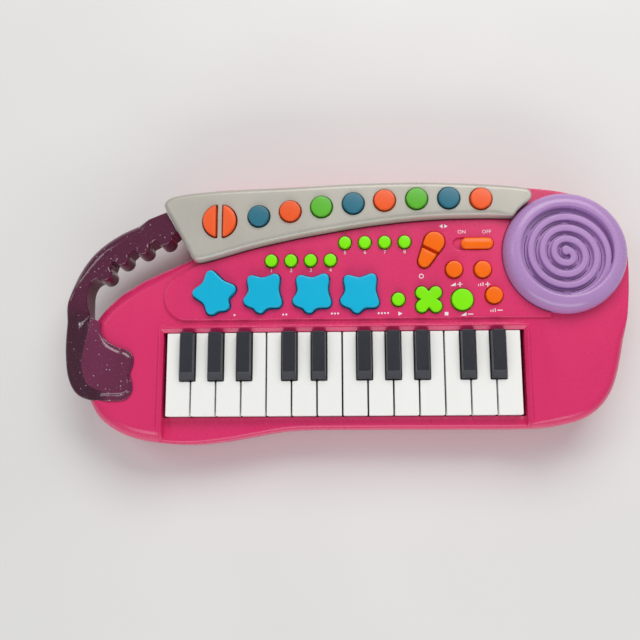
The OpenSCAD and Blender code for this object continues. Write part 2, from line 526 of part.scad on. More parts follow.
rhythm_strip(upper_row);  // rhythm_strip_upper
tone_button(0);  // tone_button_1
tone_button(1);  // tone_button_2
tone_button(2);  // tone_button_3
tone_button(3);  // tone_button_4
tone_button(4);  // tone_button_5
tone_button(5);  // tone_button_6
tone_button(6);  // tone_button_7
tone_button(7);  // tone_button_8
record_rocker();
mode_rocker();
power_slider();
volume_up_button();
volume_down_button();
tempo_up_button();
tempo_down_button();
demo_button();
stop_button();
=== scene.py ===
import math

import bmesh
import bpy
import numpy as np
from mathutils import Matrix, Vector
from mathutils.geometry import delaunay_2d_cdt


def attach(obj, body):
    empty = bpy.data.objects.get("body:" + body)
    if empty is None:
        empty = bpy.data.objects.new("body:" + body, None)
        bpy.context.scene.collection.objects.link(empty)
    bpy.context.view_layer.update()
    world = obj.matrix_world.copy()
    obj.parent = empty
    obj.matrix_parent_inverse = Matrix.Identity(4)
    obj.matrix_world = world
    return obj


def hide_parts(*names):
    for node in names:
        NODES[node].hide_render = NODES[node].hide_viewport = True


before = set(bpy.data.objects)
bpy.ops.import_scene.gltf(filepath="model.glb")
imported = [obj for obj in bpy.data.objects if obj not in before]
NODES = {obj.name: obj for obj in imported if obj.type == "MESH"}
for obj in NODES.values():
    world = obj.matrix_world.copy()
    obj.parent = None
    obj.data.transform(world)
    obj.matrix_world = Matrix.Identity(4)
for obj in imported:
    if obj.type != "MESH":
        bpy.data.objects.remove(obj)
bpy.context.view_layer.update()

# The drawing is in millimetres: x from the middle of the key row, y back from the front of the white keys, z up from the
# surface that the feet stand on. SHIFT takes it to the middle of the whole object.
SHIFT = np.array((-1.53, -64.78, 0.0))


# ---------------------------------------------------------------- curves in the plane
def spline(p, n):
    p = np.asarray(p, float)
    t = np.linspace(0, 1, n, endpoint=False)[None, :, None]
    a, b, c, d = (np.roll(p, s, 0)[:, None, :] for s in (1, 0, -1, -2))
    q = 0.5 * (2 * b + (c - a) * t + (2 * a - 5 * b + 4 * c - d) * t**2 + (3 * b - a - 3 * c + d) * t**3)
    return q.reshape(-1, p.shape[1])


def arc(c, r, a, b, n):
    t = np.radians(np.linspace(a, b, n + 1))
    return np.asarray(c, float) + r * np.stack([np.cos(t), np.sin(t)], 1)


def circle(c, r, n=64):
    return arc(c, r, 0, 360, n)[:-1]


def even(p, step):
    """A closed outline as points about step apart."""
    q = np.vstack([p, p[:1]])
    s = np.r_[0, np.cumsum(np.linalg.norm(np.diff(q, axis=0), axis=1))]
    n = max(int(round(s[-1] / step)), 8)
    u = np.linspace(0, s[-1], n, endpoint=False)
    return np.stack([np.interp(u, s, q[:, k]) for k in range(q.shape[1])], 1)


def normals(p):
    """Outward normals of a counter-clockwise outline."""
    d = np.roll(p, -1, 0) - np.roll(p, 1, 0)
    n = np.stack([d[:, 1], -d[:, 0]], 1)
    return n / np.maximum(np.linalg.norm(n, axis=1), 1e-9)[:, None]


def grow(p, d):
    return p + np.asarray(d, float).reshape(-1, 1) * normals(p)


def distance(q, loop):
    """Distance of points q to a closed outline."""
    a, d = loop, np.roll(loop, -1, 0) - loop
    l2 = np.maximum((d * d).sum(1), 1e-12)
    out = np.empty(len(q))
    for i in range(0, len(q), 4000):
        w = q[i:i + 4000, None, :] - a[None]
        t = np.clip((w * d[None]).sum(2) / l2, 0, 1)
        out[i:i + 4000] = np.sqrt(((w - t[..., None] * d[None]) ** 2).sum(2).min(1))
    return out


def inside(q, loop):
    out = np.zeros(len(q), bool)
    b = np.roll(loop, -1, 0)
    for i in range(0, len(q), 4000):
        p = q[i:i + 4000]
        up = (loop[None, :, 1] > p[:, None, 1]) != (b[None, :, 1] > p[:, None, 1])
        dy = b[:, 1] - loop[:, 1]
        dy = np.where(np.abs(dy) < 1e-12, 1e-12, dy)
        x = loop[None, :, 0] + (p[:, None, 1] - loop[None, :, 1]) * ((b[:, 0] - loop[:, 0]) / dy)[None]
        out[i:i + 4000] = ((up & (p[:, None, 0] < x)).sum(1) % 2) == 1
    return out


def unit(t):
    return np.clip(t, 0, 1)


def ease(t):
    t = unit(t)
    return t * t * (3 - 2 * t)


def turned(p, c, degrees):
    a = math.radians(degrees)
    r = np.array(((math.cos(a), -math.sin(a)), (math.sin(a), math.cos(a))))
    return np.asarray(p, float) @ r.T + np.asarray(c, float)


# ---------------------------------------------------------------- outlines of the object
case_points = [
    (-100, -16.5), (-76, -15), (-55, -11.6), (-38, -8.7), (-20, -7.6), (20, -7.5), (70, -7.6), (108, -7.6),
    (132, -6), (150, 0.5), (162, 14), (169, 35), (173.2, 60), (175.4, 83), (175, 103), (168.5, 120), (155.5, 132), (137, 138.3),
    (112, 141.6), (84, 144), (45, 146), (0, 145.5), (-45, 144), (-76, 143), (-92, 140.8), (-102, 136.4), (-106, 128.5), (-103.4, 118.5),
    (-97, 109.5), (-92.6, 103.2), (-94.2, 98.9), (-104, 95.5), (-116, 91.2), (-128, 85.5), (-143, 75.3), (-154, 62.8),
    (-160, 47), (-161.3, 30), (-158, 12), (-148, -3), (-128, -13)]
CASE = even(spline(case_points, 12), 1.6)
SPLIT, TOP, PANEL, ARCH, LIP, WALL = 18.0, 37.0, 39.0, 45.0, 29.0, 2.2
BAY, RAIL = 110.4, 51.4
COVER, COVER_R = np.array((136.4, 97.9)), 37.5


def roll_width(p):
    """How far the rounded top edge of the case reaches in: wide at the left end and the right front corner."""
    x, y = p[:, 0], p[:, 1]
    r = 0.16 + 0.84 * unit((-72 - x) / 32) * unit((105 - y) / 14) + 0.6 * unit((x - 104) / 24) * unit((58 - y) / 14)
    return 8.5 * np.minimum(r, 1)


CASE_ROLL = roll_width(CASE)
for _ in range(6):
    CASE_ROLL = (np.roll(CASE_ROLL, 1) + CASE_ROLL * 2 + np.roll(CASE_ROLL, -1)) / 4

arch_front = np.array([(-87.8, 95.1), (-84.4, 95.7), (-79.6, 96.9), (-70.4, 99.5), (-53.8, 104.1), (-28.3, 109.7), (-0.6, 114.5), (16.9, 117.1),
                       (40.5, 119.7), (64, 121), (87.4, 121.1), (100, 120.8)])
arch_points = np.vstack([[(-97.4, 106), (-94.4, 100.7), (-92.7, 97.6), (-90.6, 95.6)], arch_front, arc(COVER, COVER_R + 0.9, 143.5, 122, 4),
                         [(117.4, 133.4), (116.4, 137.2), (112, 139.4), (100, 141), (75, 142.8), (46.8, 143.9), (7.7, 143.6), (-31, 142), (-70, 140.8),
                          (-93, 139.2), (-105, 137.2), (-110.4, 133.8), (-110.4, 129.5), (-105.6, 121)]])
ARCH_LOOP = even(spline(arch_points, 10), 1.2)
panel_points = np.vstack([arc((-95.5, 73.5), 15, 270, 130, 24), [(-99, 88.2), (-94, 91.4)], arch_front - (0, 0.9),
                          arc(COVER, COVER_R + 0.4, 145, 256, 40), [(126.2, 58.5)]])
PANEL_LOOP = even(panel_points[::-1], 1.2)

tone_places = [(-50.9, 122.6), (-31.4, 125.4), (-12, 128), (7.7, 129.9), (27, 131.5), (46.8, 132.2), (66.5, 132.3), (86.1, 131.5)]
RECORD = np.array((-75.3, 119.9))
lower_row = [(-43.4 + 12.2 * i, 95.4) for i in range(4)]
upper_row = [(2.3 + 12.27 * i, 106.3) for i in range(4)]
star_places = [(-78.2, 74.7), (-48.2, 74.6), (-17.9, 74.3), (11.3, 74)]
STOP, DEMO, VOL_UP, VOL_DOWN, TEMPO_UP, TEMPO_DOWN = (53.1, 69.85), (34.6, 70.1), (69.0, 88.5), (73.4, 69.5), (86.4, 88.2), (92.7, 72.1)
SLIDER, MODE, MODE_TURN, GAP = np.array((83.5, 104.8)), np.array((54.75, 100.95)), -27.5, 0.7
TRAVEL = 4.2
# angle and radius of each tip of the two stars, and of the valley after it
star_a = [(16, 13.2, 58, 9.9), (103, 14.8, 139, 10.4), (177, 13.6, 220, 9.2), (258, 13.1, 284, 11.1), (311, 12.6, 341, 9.3)]
star_b = [(-34, 13.2, 10, 9.8), (52, 14.4, 90, 9.9), (130, 13.7, 170, 9.3), (206, 13.1, 236, 11), (258, 12.4, 289, 9.6)]


def star(i, g=0.0):
    p = []
    for a, r, b, v in (star_a if i == 0 else star_b):
        for q, t in ((r * 0.975, a - 8), (r * 0.975, a + 8), (v, b)):
            p.append((q * math.cos(math.radians(t)), q * math.sin(math.radians(t))))
    return grow(even(spline(p, 12), 0.7), g) + np.array(star_places[i])


def clover(r, n=112):
    """Four round leaves that blend in the valleys, found along rays from the middle."""
    t = np.radians(np.arange(n) * 360 / n)
    d = np.stack([np.cos(t), np.sin(t)], 1)
    lo, hi = np.zeros(n), np.full(n, 16.0)
    for _ in range(40):
        m = (lo + hi) / 2
        q = np.abs(d * m[:, None])
        leaf = np.linalg.norm(q - 4.2, axis=1) - r
        mid = np.maximum(q[:, 0], q[:, 1]) - 4.2
        h = unit(0.5 + 0.5 * (mid - leaf) / 2.2)
        f = mid * (1 - h) + leaf * h - 2.2 * h * (1 - h)
        lo, hi = np.where(f < 0, m, lo), np.where(f < 0, hi, m)
    return even(d * lo[:, None], 0.6) + np.array(STOP)


def egg(g, half=0, gap=0.0):
    """The egg outline, or one half of it with rounded corners at the gap: half is 1 for the large end and -1 for the small one."""
    r1, r2 = 6.85, 4.5
    t = math.degrees(math.asin((r1 - r2) / 13.7))
    p = np.vstack([arc((0, 5.8), r1 + g, -t, 180 + t, 60), arc((0, -7.9), r2 + g, 180 + t, 360 - t, 40)])
    if not half:
        return turned(even(p, 0.6), MODE, MODE_TURN)
    p = even(p, 0.3)
    p = p[p[:, 1] > gap] if half > 0 else p[p[:, 1] < -gap]
    k = int(np.argmax(np.linalg.norm(np.diff(np.vstack([p, p[:1]]), axis=0), axis=1)))
    p = np.roll(p, -k - 1, 0)
    return turned(rounded(even(p, 0.35), 0.6), MODE, MODE_TURN)


def rounded(p, r):
    """Softens the corners of an evenly stepped outline."""
    for _ in range(int(max(r / 0.12, 1))):
        p = (np.roll(p, 1, 0) + 2 * p + np.roll(p, -1, 0)) / 4
    return p


def half_disc(r, gap, side):
    a = math.degrees(math.acos(gap / r))
    p = arc((0, 0), r, -a, a, 60)
    p = rounded(even(p, 0.35), 0.7)
    return p * side + RECORD if side > 0 else (p * -1) + RECORD


def pill(c, length, width):
    h = (length - width) / 2
    return np.vstack([arc((h, 0), width / 2, -90, 90, 24), arc((-h, 0), width / 2, 90, 270, 24)]) + np.asarray(c, float)


def rect(x0, x1, y0, y1, r=0.0, n=6):
    if not r:
        return np.array([(x0, y0), (x1, y0), (x1, y1), (x0, y1)], float)
    return np.vstack([arc((x1 - r, y0 + r), r, -90, 0, n), arc((x1 - r, y1 - r), r, 0, 90, n), arc((x0 + r, y1 - r), r, 90, 180, n), arc((x0 + r, y0 + r), r, 180, 270, n)])


handle_points = np.vstack([
    [(-104, 114.6)], arc((-111.3, 111.7), 5.2, 12, -158, 7), [(-118.3, 108.5)], arc((-125.4, 105.7), 5.2, 18, -158, 7), [(-131.8, 102.3)],
    arc((-138.4, 99.2), 5.2, 18, -155, 7), [(-144.1, 94.8)], arc((-149, 89.2), 5.2, 40, -135, 7), [(-156.6, 82.6), (-158.6, 76), (-158, 66), (-156, 60.6),
    (-150.4, 58.4), (-148.9, 51.3), (-144.8, 46.3), (-137.8, 42.4), (-132.1, 40.6), (-128.6, 36.8), (-128.3, 31.2), (-129.9, 25.7),
    (-128.4, 19.6), (-128.6, 14.4), (-131.8, 10.6), (-137, 9.4), (-147.5, 9.6), (-157, 10.6), (-165, 15), (-170.2, 25), (-172.4, 40),
    (-172.4, 56), (-171, 72), (-166, 88), (-156, 103), (-142, 114), (-126, 121.6), (-112, 127.4), (-103, 130), (-99, 124)]])
HANDLE = even(spline(handle_points, 10)[::-1], 0.9)


# ---------------------------------------------------------------- meshes
def cut(loops, points, keep):
    """Triangles between closed outlines, with extra points, kept where keep(middles) is true."""
    co, edges, k = [], [], 0
    for l in loops:
        n = len(l)
        co += [tuple(p) for p in l]
        edges += [(k + i, k + (i + 1) % n) for i in range(n)]
        k += n
    co += [tuple(p) for p in points]
    out = delaunay_2d_cdt([Vector(p) for p in co], edges, [], 0, 1e-5)
    v = np.array([(q[0], q[1]) for q in out[0]])
    f = np.array([t for t in out[2] if len(t) == 3])
    p, q, r = v[f[:, 0]], v[f[:, 1]], v[f[:, 2]]
    longest = np.max([np.linalg.norm(p - q, axis=1), np.linalg.norm(q - r, axis=1), np.linalg.norm(r - p, axis=1)], axis=0)
    area = np.abs((q[:, 0] - p[:, 0]) * (r[:, 1] - p[:, 1]) - (q[:, 1] - p[:, 1]) * (r[:, 0] - p[:, 0]))
    f = f[area > 2e-4 * longest]        # no slivers along straight outlines
    return v, f[keep(v[f].mean(1))]


class Shape:
    """Collects faces in millimetres and makes a piece of them."""

    def __init__(self):
        self.v, self.f, self.n = [], [], 0

    def add(self, v, f, flip=False):
        v = np.asarray(v, float).reshape(-1, 3)
        self.v.append(v)
        self.f += [[int(i) + self.n for i in (q[::-1] if flip else q)] for q in f]
        self.n += len(v)
        return self

    def strips(self, rings, closed=True, flip=False):
        """Faces between rings of points, outwards if the rings are counter-clockwise and go up."""
        n, v, f = len(rings[0]), np.vstack(rings), []
        for j in range(len(rings) - 1):
            for i in range(n if closed else n - 1):
                k = (i + 1) % n
                f.append((j * n + i, j * n + k, (j + 1) * n + k, (j + 1) * n + i))
        return self.add(v, f, flip)

    def plate(self, outer, holes, z, up=True):
        v, f = cut([outer] + list(holes), [], lambda c: inside(c, outer) & ~np.any([inside(c, h) for h in holes] or [np.zeros(len(c), bool)], 0))
        return self.add(np.c_[v, np.full(len(v), z)], f, not up)

    def skin(self, outer, holes, rings, hole_rings, height, grid=0.0):
        """A top face whose height depends on the distances to its outlines."""
        loops, pts = [outer] + list(holes), []
        for k, l in enumerate(loops):
            for d in (rings if k == 0 else hole_rings):
                p = grow(l, -d if k == 0 else d)
                ok = inside(p, outer) & (distance(p, l) > 0.94 * d)
                for m, h in enumerate(loops):
                    if m:
                        ok &= ~inside(p, h)
                    if m != k:
                        ok &= distance(p, h) > 0.3
                pts.append(p[ok])
        if grid:
            lo, hi = outer.min(0), outer.max(0)
            xs, ys = np.arange(lo[0], hi[0], grid), np.arange(lo[1], hi[1], grid * 0.866)
            p = np.array([(x + (grid / 2 if j % 2 else 0), y) for j, y in enumerate(ys) for x in xs])
            p = p[inside(p, outer)]
            ok = distance(p, outer) > (max(rings) if len(rings) else 0) + grid * 0.5
            for h in holes:
                ok &= ~inside(p, h) & (distance(p, h) > (max(hole_rings) if len(hole_rings) else 0) + grid * 0.5)
            pts.append(p[ok])
        pts = np.vstack(pts) if pts else np.zeros((0, 2))
        v, f = cut(loops, pts, lambda c: inside(c, outer) & ~np.any([inside(c, h) for h in holes] or [np.zeros(len(c), bool)], 0))
        z = height(v, [np.where(d < 0.002, 0.0, d) for d in (distance(v, l) for l in loops)])
        return self.add(np.c_[v, z], f)

    def wall(self, loop, z0, z1, inward=False):
        return self.strips([np.c_[loop, np.full(len(loop), z0)], np.c_[loop, np.full(len(loop), z1)]], True, inward)

    def lathe(self, c, profile, n=64):
        """Turned shape about an upright axis; the profile goes from the bottom to the top as (radius, z)."""
        t = np.radians(np.arange(n) * 360 / n)
        ring = np.stack([np.cos(t), np.sin(t)], 1)
        rows, f, k = [], [], 0
        idx = []
        for r, z in profile:
            if r < 1e-6:
                rows.append(np.array([(c[0], c[1], z)]))
                idx.append([k] * n)
                k += 1
            else:
                rows.append(np.c_[np.asarray(c, float) + ring * r, np.full(n, z)])
                idx.append(list(range(k, k + n)))
                k += n
        for a, b in zip(idx, idx[1:]):
            for i in range(n):
                j = (i + 1) % n
                q = [a[i], a[j], b[j], b[i]]
                q = [x for m, x in enumerate(q) if x != q[m - 1]]
                if len(q) > 2:
                    f.append(q)
        return self.add(np.vstack(rows), f)

    def moulding(self, loop, z0, z1, w, crown=0.0, h=None, n=5, foot=0.0):
        """Solid cap of an outline: upright sides, a rounded top edge w wide and h high, and a slightly crowned top."""
        h = w if h is None else h
        t = np.radians(np.linspace(0, 90, n + 1))
        rings = [w * (1 - math.cos(a)) for a in t[1:]] + ([w * 1.6, w * 2.4] if crown else [])
        reach = max(distance(self._mid(loop), loop).max(), w + 0.1)

        def height(v, d):
            e = unit(d[0] / w)
            return z1 - h * (1 - np.sqrt(np.maximum(1 - (1 - e) ** 2, 0))) - crown * (1 - unit((d[0] - w) / (reach - w))) ** 2
        self.skin(loop, [], rings, [], height, grid=1.6 if crown else 0.0)
        ze = z1 - h - crown
        lower = [np.c_[grow(loop, -foot), np.full(len(loop), z0)]] if foot else []
        self.strips(lower + [np.c_[loop, np.full(len(loop), z0 + foot)], np.c_[loop, np.full(len(loop), ze)]])
        return self.plate(grow(loop, -foot) if foot else loop, [], z0, False)

    @staticmethod
    def _mid(loop):
        lo, hi = loop.min(0), loop.max(0)
        g = np.stack(np.meshgrid(np.linspace(lo[0], hi[0], 40), np.linspace(lo[1], hi[1], 40)), -1).reshape(-1, 2)
        return g[inside(g, loop)]

    def box(self, x0, x1, y0, y1, z0, z1, r=0.3):
        """Box with chamfered edges."""
        a, b = rect(x0, x1, y0, y1, min(r, (x1 - x0) / 3, (y1 - y0) / 3), 3), None
        b = rect(x0 + r, x1 - r, y0 + r, y1 - r, min(r, (x1 - x0) / 3, (y1 - y0) / 3) * 0.6, 3)
        self.strips([np.c_[b, np.full(len(b), z0)], np.c_[a, np.full(len(a), z0 + r)], np.c_[a, np.full(len(a), z1 - r)], np.c_[b, np.full(len(b), z1)]])
        self.plate(b, [], z1)
        return self.plate(b, [], z0, False)

    def across(self, poly, holes, x0, x1):
        """Prism along x of an outline in (y, z)."""
        loops = [np.asarray(poly, float)] + [np.asarray(h, float) for h in holes]
        v, f = cut(loops, [], lambda c: inside(c, loops[0]) & ~np.any([inside(c, h) for h in loops[1:]] or [np.zeros(len(c), bool)], 0))
        self.add(np.c_[np.full(len(v), x1), v], f)
        self.add(np.c_[np.full(len(v), x0), v], f, True)
        for k, l in enumerate(loops):
            self.strips([np.c_[np.full(len(l), x0), l], np.c_[np.full(len(l), x1), l]], True, k > 0)
        return self

    def mesh(self, name, weld=0.0015, tidy=True):
        me = bpy.data.meshes.new(name)
        me.from_pydata(((np.vstack(self.v) + SHIFT) * 0.001).tolist(), [], self.f)
        bm = bmesh.new()
        bm.from_mesh(me)
        bmesh.ops.remove_doubles(bm, verts=bm.verts, dist=weld * 0.001)
        bmesh.ops.dissolve_degenerate(bm, edges=bm.edges, dist=1e-7)
        if tidy:
            bmesh.ops.recalc_face_normals(bm, faces=bm.faces)
        bm.to_mesh(me)
        bm.free()
        return me


def finish_piece(name, me, material, body, nodes=(), sharp=40.0, weighted=True):
    me.polygons.foreach_set("use_smooth", [True] * len(me.polygons))
    me.set_sharp_from_angle(angle=math.radians(sharp))
    o = bpy.data.objects.new(name, me)
    bpy.context.scene.collection.objects.link(o)
    me.materials.append(material)
    if weighted:
        m = o.modifiers.new("normals", "WEIGHTED_NORMAL")
        m.mode, m.weight, m.keep_sharp = "FACE_AREA", 50, True
    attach(o, body)
    if nodes:
        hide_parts(*nodes)
    return o


def bevelled(me, width, segments=3, angle=30.0, where=None):
    """Rounds the sharp edges of a simple solid, in millimetres."""
    bm = bmesh.new()
    bm.from_mesh(me)
    bmesh.ops.dissolve_limit(bm, angle_limit=math.radians(1), verts=bm.verts, edges=bm.edges)
    edges = [e for e in bm.edges if len(e.link_faces) == 2 and e.calc_face_angle(0) > math.radians(angle) and (where is None or where(e))]
    bmesh.ops.bevel(bm, geom=edges, offset=width * 0.001, offset_type="OFFSET", segments=segments, profile=0.5, affect="EDGES", clamp_overlap=True)
    bm.to_mesh(me)
    bm.free()
    return me


# ---------------------------------------------------------------- materials
class Mat:
    """A node material on the Principled shader; textures use the object's own coordinates, in metres."""

    def __init__(self, name):
        self.m = bpy.data.materials.new(name)
        self.m.use_nodes = True
        self.t = self.m.node_tree
        self.t.nodes.clear()
        self.out = self.t.nodes.new("ShaderNodeOutputMaterial")
        self.p = self.t.nodes.new("ShaderNodeBsdfPrincipled")
        self.t.links.new(self.p.outputs[0], self.out.inputs[0])
        self.co = self.t.nodes.new("ShaderNodeTexCoord").outputs["Object"]

    def node(self, kind, **values):
        n = self.t.nodes.new(kind)
        for k, v in values.items():
            setattr(n, k, v)
        return n

    def link(self, a, b):
        self.t.links.new(a, b)

    def noise(self, scale, detail=2.0, rough=0.5, stretch=None):
        n = self.node("ShaderNodeTexNoise")
        n.inputs["Scale"].default_value = scale
        n.inputs["Detail"].default_value = detail
        n.inputs["Roughness"].default_value = rough
        co = self.co
        if stretch:
            mp = self.node("ShaderNodeMapping")
            mp.inputs["Scale"].default_value = stretch
            self.link(co, mp.inputs["Vector"])
            co = mp.outputs[0]
        self.link(co, n.inputs["Vector"])
        return n.outputs["Fac"]

    def ramp(self, fac, stops):
        r = self.node("ShaderNodeValToRGB")
        e = r.color_ramp.elements
        while len(e) < len(stops):
            e.new(0.5)
        for x, (pos, col) in zip(e, stops):
            x.position, x.color = pos, (*col, 1.0) if len(col) == 3 else col
        self.link(fac, r.inputs[0])
        return r.outputs[0]

    def range(self, fac, a, b, lo, hi):
        r = self.node("ShaderNodeMapRange")
        for k, v in zip(("From Min", "From Max", "To Min", "To Max"), (a, b, lo, hi)):
            r.inputs[k].default_value = v
        self.link(fac, r.inputs["Value"])
        return r.outputs[0]

    def math(self, op, a, b=None):
        n = self.node("ShaderNodeMath", operation=op)
        for k, x in enumerate((a, b)):
            if x is None:
                continue
            if isinstance(x, (int, float)):
                n.inputs[k].default_value = x
            else:
                self.link(x, n.inputs[k])
        return n.outputs[0]

    def mix(self, fac, a, b):
        n = self.node("ShaderNodeMix", data_type="RGBA")
        for k, x in ((0, fac), (6, a), (7, b)):
            if isinstance(x, (int, float)):
                n.inputs[k].default_value = x
            elif isinstance(x, tuple):
                n.inputs[k].default_value = (*x, 1.0)
            else:
                self.link(x, n.inputs[k])
        return n.outputs[2]

    def bump(self, height, strength, dist, after=None):
        b = self.node("ShaderNodeBump")
        b.inputs["Strength"].default_value = strength
        b.inputs["Distance"].default_value = dist
        self.link(height, b.inputs["Height"])
        if after is not None:
            self.link(after, b.inputs["Normal"])
        return b.outputs[0]

    def set(self, **values):
        for k, v in values.items():
            self.p.inputs[k.replace("_", " ")].default_value = v
        return self

    def to(self, socket, out):
        self.link(out, self.p.inputs[socket])
        return self


def srgb(r, g, b):
    f = lambda c: (c / 12.92 if c <= 0.04045 else ((c + 0.055) / 1.055) ** 2.4)
    return tuple(f(c / 255) for c in (r, g, b))


def shade(c, k):
    return tuple(min(x * k, 1.0) for x in c)


def plastic(name, colour, rough=(0.26, 0.4), grain=0.25, grain_scale=2600.0, tone=0.07, spec=0.5, coat=0.0, sss=0.0):
    """Moulded plastic: faint flow marks in the tone, a spark-eroded grain and uneven gloss."""
    a = Mat(name)
    flow = a.noise(22.0, 3.0, 0.55, (1.0, 0.45, 1.0))
    fine = a.noise(420.0, 3.0, 0.6)
    c = a.ramp(flow, [(0.3, shade(colour, 1 - tone)), (0.7, shade(colour, 1 + tone))])
    c = a.mix(a.range(fine, 0.3, 0.75, 0.0, 0.08), c, shade(colour, 1 - 1.6 * tone))
    a.to("Base Color", c)
    a.to("Roughness", a.range(a.math("ADD", a.math("MULTIPLY", flow, 0.5), a.math("MULTIPLY", fine, 0.5)), 0.35, 0.65, *rough))
    h = a.bump(a.noise(grain_scale, 2.0, 0.6), grain, 0.00004)
    a.to("Normal", a.bump(a.noise(60.0, 2.0), 0.06, 0.0006, h))
    a.set(IOR=1.5, Specular_IOR_Level=spec, Coat_Weight=coat, Coat_Roughness=0.08, Subsurface_Weight=sss)
    if sss:
        a.set(Subsurface_Radius=(0.004, 0.003, 0.003), Subsurface_Scale=0.5)
    return a.m


PINK = plastic("pink_plastic", srgb(222, 46, 106), (0.24, 0.32), 0.04, 1800.0, 0.04)
LAVENDER = plastic("lavender_plastic", srgb(180, 140, 196), (0.2, 0.3), 0.12, 2600.0, 0.04)
WHITE = plastic("white_keys", srgb(248, 248, 244), (0.28, 0.4), 0.12, 2800.0, 0.02, sss=0.06)
BLACK = plastic("black_keys", srgb(40, 41, 50), (0.3, 0.42), 0.35, 2200.0, 0.1)
BLUE = plastic("blue_caps", srgb(8, 182, 222), (0.17, 0.27), 0.15, 2600.0, 0.04, spec=0.4)
GREEN = plastic("green_caps", srgb(132, 242, 2), (0.2, 0.3), 0.15, 2600.0, 0.04, spec=0.32)
ORANGE = plastic("orange_caps", srgb(255, 112, 4), (0.2, 0.3), 0.15, 2600.0, 0.04, spec=0.32)
# Painted shade: darker, duller copies of the blue, orange and green, for the caps set in the silver bar, as if those
# caps sat in shadow.
SHADED_TONE_BLUE = plastic("shaded_tone_blue_caps", srgb(36, 112, 134), (0.28, 0.4), 0.2, 2600.0, 0.05)
SHADED_TONE_ORANGE = plastic("shaded_tone_orange_caps", srgb(246, 92, 30), (0.26, 0.38), 0.2, 2600.0, 0.05)
SHADED_TONE_GREEN = plastic("shaded_tone_green_caps", srgb(92, 186, 40), (0.26, 0.38), 0.2, 2600.0, 0.05)


def silver():
    """Sprayed silver: a warm grey with fine flake and soft sheen."""
    a = Mat("silver_spray")
    base = srgb(186, 182, 172)
    v = a.node("ShaderNodeTexVoronoi")
    v.inputs["Scale"].default_value = 3600.0
    a.link(a.co, v.inputs["Vector"])
    flake = a.math("MULTIPLY", a.range(v.outputs["Color"], 0.2, 1.0, 0.0, 1.0), 1.0)
    cloud = a.noise(30.0, 3.0, 0.55)
    c = a.ramp(cloud, [(0.3, shade(base, 0.93)), (0.7, shade(base, 1.04))])
    a.to("Base Color", a.mix(a.range(flake, 0.55, 1.0, 0.0, 0.35), c, shade(base, 0.72)))
    a.to("Roughness", a.range(flake, 0.0, 1.0, 0.32, 0.5))
    a.to("Metallic", a.range(flake, 0.4, 1.0, 0.12, 0.5))
    a.to("Normal", a.bump(v.outputs["Distance"], 0.12, 0.00003))
    a.set(IOR=1.5, Coat_Weight=0.15, Coat_Roughness=0.2)
    return a.m


SILVER = silver()


def glitter():
    """Clear tinted plastic with bright flakes of two sizes sunk in it."""
    a = Mat("clear_glitter")
    body = srgb(124, 46, 84)

    def flakes(scale, size, share):
        v = a.node("ShaderNodeTexVoronoi")
        v.inputs["Scale"].default_value = scale
        v.inputs["Randomness"].default_value = 1.0
        a.link(a.co, v.inputs["Vector"])
        sep = a.node("ShaderNodeSeparateColor")
        a.link(v.outputs["Color"], sep.inputs[0])
        dot = a.range(v.outputs["Distance"], size * 0.7, size, 1.0, 0.0)
        lit = a.range(sep.outputs[0], 1 - share, 1 - share + 0.02, 0.0, 1.0)
        return a.math("MULTIPLY", dot, lit), sep.outputs[1]
    big, hue = flakes(420.0, 0.15, 0.4)
    small, _ = flakes(900.0, 0.2, 0.4)
    cloud = a.noise(40.0, 2.0)
    c = a.ramp(cloud, [(0.3, shade(body, 0.82)), (0.7, shade(body, 1.12))])
    # Painted shade: where the vertex attribute is set, the tint is darkened towards shade(body, 0.34), on the pad's
    # sloping skirt and on the strip.
    painted_shade = a.node("ShaderNodeAttribute", attribute_name="painted_shade").outputs["Fac"]
    c = a.mix(painted_shade, c, shade(body, 0.34))
    c = a.mix(a.math("MULTIPLY", small, 0.35), c, srgb(214, 150, 190))
    c = a.mix(big, c, a.ramp(hue, [(0.0, srgb(255, 222, 240)), (0.5, srgb(255, 255, 255)), (1.0, srgb(236, 190, 230))]))
    a.to("Base Color", c)
    a.to("Metallic", a.math("MULTIPLY", big, 0.5))
    a.to("Roughness", a.range(a.noise(120.0, 2.0), 0.3, 0.7, 0.06, 0.14))
    a.to("Normal", a.bump(a.noise(90.0, 2.0), 0.05, 0.0006))
    a.set(IOR=1.49, Transmission_Weight=0.22, Coat_Weight=0.3, Coat_Roughness=0.03)
    return a.m


HANDLE_MAT = glitter()


def printed():
    a = Mat("white_print")
    a.to("Base Color", a.ramp(a.noise(900.0, 2.0), [(0.35, srgb(226, 216, 220)), (0.65, srgb(246, 240, 242))]))
    a.to("Roughness", a.range(a.noise(300.0), 0.3, 0.7, 0.45, 0.6))
    return a.m


PRINT = printed()


def metal(name, colour, rough):
    a = Mat(name)
    brush = a.noise(900.0, 3.0, 0.6, (1.0, 1.0, 8.0))
    a.to("Base Color", a.ramp(brush, [(0.3, shade(colour, 0.86)), (0.7, colour)]))
    a.to("Roughness", a.range(brush, 0.3, 0.7, *rough))
    a.to("Normal", a.bump(brush, 0.08, 0.00005))
    a.set(Metallic=1.0)
    return a.m


STEEL = metal("plated_steel", srgb(190, 190, 192), (0.22, 0.38))


def board():
    a = Mat("laminate_board")
    v = a.node("ShaderNodeTexVoronoi", feature="DISTANCE_TO_EDGE")
    v.inputs["Scale"].default_value = 160.0
    a.link(a.co, v.inputs["Vector"])
    track = a.range(v.outputs["Distance"], 0.05, 0.09, 1.0, 0.0)
    fibre = a.noise(500.0, 3.0, 0.6, (1.0, 0.2, 1.0))
    c = a.ramp(fibre, [(0.3, srgb(120, 82, 38)), (0.7, srgb(150, 106, 54))])
    a.to("Base Color", a.mix(track, c, srgb(70, 92, 46)))
    a.to("Roughness", a.range(fibre, 0.3, 0.7, 0.4, 0.6))
    a.to("Normal", a.bump(track, 0.2, 0.00008))
    return a.m


